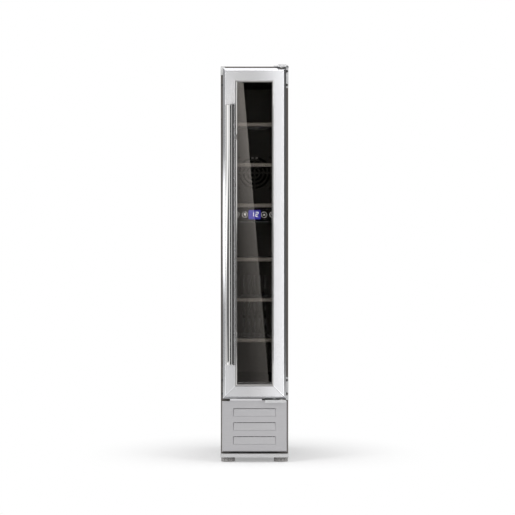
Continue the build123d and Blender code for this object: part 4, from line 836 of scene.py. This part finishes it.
floor_paint.surface(floor_paint.add("MixShader", {
    0: floor_paint.math("MULTIPLY", seen, fade), 1: floor_paint.shader.outputs[0], 2: white.outputs[0]
}))
bm = bmesh.new()
bmesh.ops.create_circle(bm, cap_ends=True, segments=96, radius=FLOOR_RADIUS)
floor = placed("floor", bm, floor_paint)

# The room that steel mirrors, as (degrees from the front toward the right, level): pale walls, the
# brightest at the left front, a dim stretch behind it, and a dark flag over the whole right side.
# Above the walls there is a dim gap, and overhead a bright cloth.
AROUND = [
    (-180, 0.9), (-143, 0.8), (-120, 0.55), (-103, 0.34), (-95, 0.6), (-90, 0.85), (-80, 1.15), (-74, 1.5),
    (-60, 1.5), (-48, 1.15), (-30, 1.1), (0, 1.1), (20, 0.95), (49, 0.9), (54, 0.3), (61, 0.16),
    (125, 0.1), (150, 0.5), (180, 0.9),
]
GAP = (0.3, 0.3, 0.3, 1)
GAP_EDGE = (0.5, 0.65)  # upward part of the direction where the walls end
OVERHEAD = (1.6, 1.6, 1.6, 1)
OVERHEAD_EDGE = (0.945, 0.965)
PLAIN_LIGHT = 0.5  # what falls on the cooler from all round


def graded(tree, value, levels):
    """A grey that follows a list of (place, level) along value."""
    start, end = levels[0][0], levels[-1][0]
    ramp = tree.add("ValToRGB", {"Fac": tree.spread(value, 0.0, 1.0, start, end)})
    stops = ramp.color_ramp.elements
    stops.remove(stops[-1])
    for place, level in levels:
        stops.new((place - start) / (end - start)).color = (level, level, level, 1)
    stops.remove(stops[0])
    return ramp.outputs["Color"]


world = bpy.data.worlds.new("studio")
world.use_nodes = True
bpy.context.scene.world = world
sky = Nodes(world.node_tree)
direction = sky.axes(sky.add("TexCoord").outputs["Generated"])
azimuth = sky.math("ARCTAN2", direction["X"], sky.math("MULTIPLY", direction["Y"], -1.0))
walls = graded(sky, azimuth, [(radians(degrees), level) for degrees, level in AROUND])
in_gap = sky.spread(direction["Z"], 0.0, 1.0, *GAP_EDGE, interpolation_type="SMOOTHSTEP")
above = sky.spread(direction["Z"], 0.0, 1.0, *OVERHEAD_EDGE, interpolation_type="SMOOTHSTEP")
mirrored_room = sky.mix(above, sky.mix(in_gap, walls, GAP), OVERHEAD)
ray = sky.add("LightPath").outputs
looked_at = sky.math("MAXIMUM", ray["Is Camera Ray"], ray["Is Transmission Ray"])
plain = sky.spread(looked_at, PLAIN_LIGHT, 1.0)
only_mirrored = sky.math("SUBTRACT", ray["Is Glossy Ray"], ray["Is Transmission Ray"])
room = sky.mix(only_mirrored, plain, mirrored_room)
sky.tree.links.new(room, sky.tree.nodes["Background"].inputs["Color"])


def softbox(name, place, aim, size, power):
    """A rectangular soft lamp that faces the point aim."""
    lamp = bpy.data.lights.new(name, "AREA")
    lamp.shape = "RECTANGLE"
    lamp.size, lamp.size_y = size
    lamp.energy = power
    holder = bpy.data.objects.new(name, lamp)
    bpy.context.scene.collection.objects.link(holder)
    holder.location = place
    holder.rotation_euler = (Vector(aim) - Vector(place)).to_track_quat("-Z", "Y").to_euler()
    holder.visible_glossy = False


softbox("key_lamp", (-1.9, -2.7, 1.7), aim=(0, 0, 0.45), size=(1.3, 1.8), power=45)
softbox("fill_lamp", (2.1, -2.6, 1.3), aim=(0, 0, 0.45), size=(1.2, 1.8), power=28)
softbox("front_lamp", (0, -4.2, 0.9), aim=(0, 0, 0.5), size=(1.0, 1.4), power=60)
softbox("top_lamp", (0, -0.4, 3.0), aim=(0, 0, 0.5), size=(1.6, 1.6), power=36)

# What stands in front and beside, seen only in reflections: a pale wall, darker in the middle, a
# dark screen before it with a lit sheet hung on its left half, a lamp's face at the left, a dark
# flag near the handle, and a slat right in front of it.
CAMERA_DISTANCE = 7.5
CAMERA_HEIGHT = 0.5571
SHEET_DISTANCE = 2.0
SCREEN_DISTANCE = 2.05
WALL_DISTANCE = 2.15


def mirrored(x, z, distance):
    """Where the camera sees the point (x, z) of the glass mirror, that far in front of it."""
    spread = 1 + distance / CAMERA_DISTANCE
    return x * spread, glass_front - distance, CAMERA_HEIGHT + (z - CAMERA_HEIGHT) * spread


def reflector(name, rim, finish):
    """A flat sheet that only reflections see."""
    bm = bmesh.new()
    bm.faces.new([bm.verts.new(point) for point in rim])
    sheet = placed(name, bm, finish)
    sheet.visible_camera = False
    sheet.visible_diffuse = False
    sheet.visible_shadow = False


def glowing(name, strength):
    """A finish with light of its own, which shows only to a ray that has been mirrored."""
    glow = Finish(name, Base_Color=(0, 0, 0, 1), Specular_IOR_Level=0.0, Emission_Strength=strength)
    mirrors = glow.add("LightPath").outputs["Glossy Depth"]
    unseen = glow.add("BsdfTransparent")
    glow.surface(glow.add("MixShader", {
        0: glow.math("GREATER_THAN", mirrors, 0.5), 1: unseen.outputs[0], 2: glow.shader.outputs[0]
    }))
    return glow


# Levels across the pale wall, as (metres to the right, level).
ACROSS = [
    (-0.5, 0.95), (-0.12, 1.1), (-0.085, 1.15), (-0.062, 0.4), (-0.03, 0.03), (0.0, 0.05), (0.03, 0.75),
    (0.055, 1.5), (0.09, 1.8), (0.5, 1.9),
]
WALL_HEIGHT = 1.35
pale_wall = glowing("pale_wall", 1.0)
pale_wall.feed("Emission Color", graded(pale_wall, pale_wall.axes(pale_wall.place)["X"], ACROSS))
wall_left, wall_right = ACROSS[0][0], ACROSS[-1][0]
wall_y = glass_front - WALL_DISTANCE
reflector("front_wall", [
    (wall_left, wall_y, 0), (wall_right, wall_y, 0), (wall_right, wall_y, WALL_HEIGHT),
    (wall_left, wall_y, WALL_HEIGHT),
], pale_wall)

# The screen and the sheet are given by their rims as (x, z) on the glass.
SCREEN_RIM = ((-0.042, 0.16), (0.042, 0.16), (0.042, 0.845), (-0.042, 0.845))
screen_black = glowing("screen_black", 0.0)
reflector("dark_screen", [mirrored(x, z, SCREEN_DISTANCE) for x, z in SCREEN_RIM], screen_black)

# The sheet is brightest at the head of its slanted right edge, and fades downward and to the left.
SHEET_RIM = ((-0.048, 0.15), (0.0332, 0.15), (-0.0252, 0.842), (-0.048, 0.842))
EDGE_TOP = (-0.0244, 0.8317)
EDGE_FOOT = (0.0314, 0.1714)
SHEET_WHITE = (1, 0.94, 0.87, 1)
FALL_WIDTH = 0.055
FALL_POWER = 1.9
FOOT_LEVEL = 0.22
LEAST_LEVEL = 0.12
lit_sheet = glowing("lit_sheet", 2.0)
lit_place = lit_sheet.axes(lit_sheet.place)
top_x, _, top_z = mirrored(*EDGE_TOP, SHEET_DISTANCE)
foot_x, _, foot_z = mirrored(*EDGE_FOOT, SHEET_DISTANCE)
up_sheet = lit_sheet.spread(lit_place["Z"], 0.0, 1.0, foot_z, top_z)
from_edge = lit_sheet.math("SUBTRACT", lit_sheet.spread(up_sheet, foot_x, top_x), lit_place["X"])
fall = lit_sheet.spread(from_edge, 1.0, 0.0, 0.0, FALL_WIDTH)
edge_level = lit_sheet.math("ADD", lit_sheet.math("POWER", up_sheet, FALL_POWER), FOOT_LEVEL)
sheet_level = lit_sheet.math("MULTIPLY_ADD", edge_level, fall, LEAST_LEVEL)
lit_sheet.feed("Emission Color", lit_sheet.mix(sheet_level, (0, 0, 0, 1), SHEET_WHITE))
reflector("hung_sheet", [mirrored(x, z, SHEET_DISTANCE) for x, z in SHEET_RIM], lit_sheet)

LAMP_MIDDLE = 0.505
LAMP_HALF_HEIGHT = 0.17
LAMP_CORE = 0.04  # full light this far from the middle height
LAMP_RIM_LEVEL = 0.3
LAMP_SIDE = -1.05
LAMP_BACK = 0.05
LAMP_FRONT = -0.3
lamp_face = glowing("lamp_face", 2.6)
lamp_height = lamp_face.axes(lamp_face.place)["Z"]
off_lamp = lamp_face.math("ABSOLUTE", lamp_face.math("SUBTRACT", lamp_height, LAMP_MIDDLE))
soft_edge = lamp_face.spread(
    off_lamp, 1.0, LAMP_RIM_LEVEL, LAMP_CORE, LAMP_HALF_HEIGHT, interpolation_type="SMOOTHSTEP"
)
lamp_face.feed("Emission Color", lamp_face.mix(soft_edge, (0, 0, 0, 1), (1, 1, 1, 1)))
lamp_foot = LAMP_MIDDLE - LAMP_HALF_HEIGHT
lamp_head = LAMP_MIDDLE + LAMP_HALF_HEIGHT
reflector("side_lamp_face", [
    (LAMP_SIDE, LAMP_FRONT, lamp_foot), (LAMP_SIDE, LAMP_BACK, lamp_foot), (LAMP_SIDE, LAMP_BACK, lamp_head),
    (LAMP_SIDE, LAMP_FRONT, lamp_head),
], lamp_face)

# The flag stands to the left front of the handle. Its rim is (across, height).
FLAG_RIM = (
    (0.28, 0.72), (0.17, 0.66), (0.02, 0.58), (-0.12, 0.52), (-0.27, 0.42), (-0.27, 0.3), (-0.15, 0.2),
    (0.28, 0.2),
)
FLAG_DISTANCE = 0.5
FLAG_TURN = radians(-47)
flag_cloth = glowing("flag_cloth", 0.13)
flag_skin = flag_cloth.effect(skin, Grains=40.0, Clouds=4.0)
flag_cloth.feed("Emission Color", flag_cloth.mix(flag_skin["Tone"], (0.9, 0.9, 0.9, 1), (1, 1, 1, 1)))
bar_low, bar_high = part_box("handle_bar")
bar_middle = (bar_low + bar_high) / 2
flag_facing = Vector((sin(FLAG_TURN), -cos(FLAG_TURN), 0))
flag_across = Vector((cos(FLAG_TURN), sin(FLAG_TURN), 0))
flag_middle = Vector((bar_middle.x, bar_middle.y, 0)) + flag_facing * FLAG_DISTANCE
reflector("handle_flag", [
    flag_middle + flag_across * across + Vector((0, 0, height)) for across, height in FLAG_RIM
], flag_cloth)

# A black slat just in front of the handle gives its tube one dark line.
SLAT_DISTANCE = 0.02
SLAT_START = 0.0019
SLAT_END = 0.0117
SLAT_OVERHANG = 0.004
slat_foot = bar_low.z - SLAT_OVERHANG
slat_head = bar_high.z + SLAT_OVERHANG
slat_rim = ((SLAT_START, slat_foot), (SLAT_END, slat_foot), (SLAT_END, slat_head), (SLAT_START, slat_head))
reflector("black_slat", [
    (bar_middle.x + x, bar_middle.y - SLAT_DISTANCE, z) for x, z in slat_rim
], screen_black)

# The camera stands in front of the cooler and aims a little below its own height.
CAMERA_AIM = (0.0065, 0.4492)
FIELD_WIDTH = 1.122
camera_data = bpy.data.cameras.new("camera")
camera_data.sensor_width = 36.0
camera_data.lens = camera_data.sensor_width * CAMERA_DISTANCE / FIELD_WIDTH
camera_data.clip_end = 100.0
camera = bpy.data.objects.new("camera", camera_data)
bpy.context.scene.collection.objects.link(camera)
camera.location = (0, frame_low.y - CAMERA_DISTANCE, CAMERA_HEIGHT)
aim = Vector((CAMERA_AIM[0], frame_low.y, CAMERA_AIM[1])) - camera.location
camera.rotation_euler = aim.to_track_quat("-Z", "Y").to_euler()
bpy.context.scene.camera = camera
bpy.context.scene.view_settings.view_transform = "Standard"
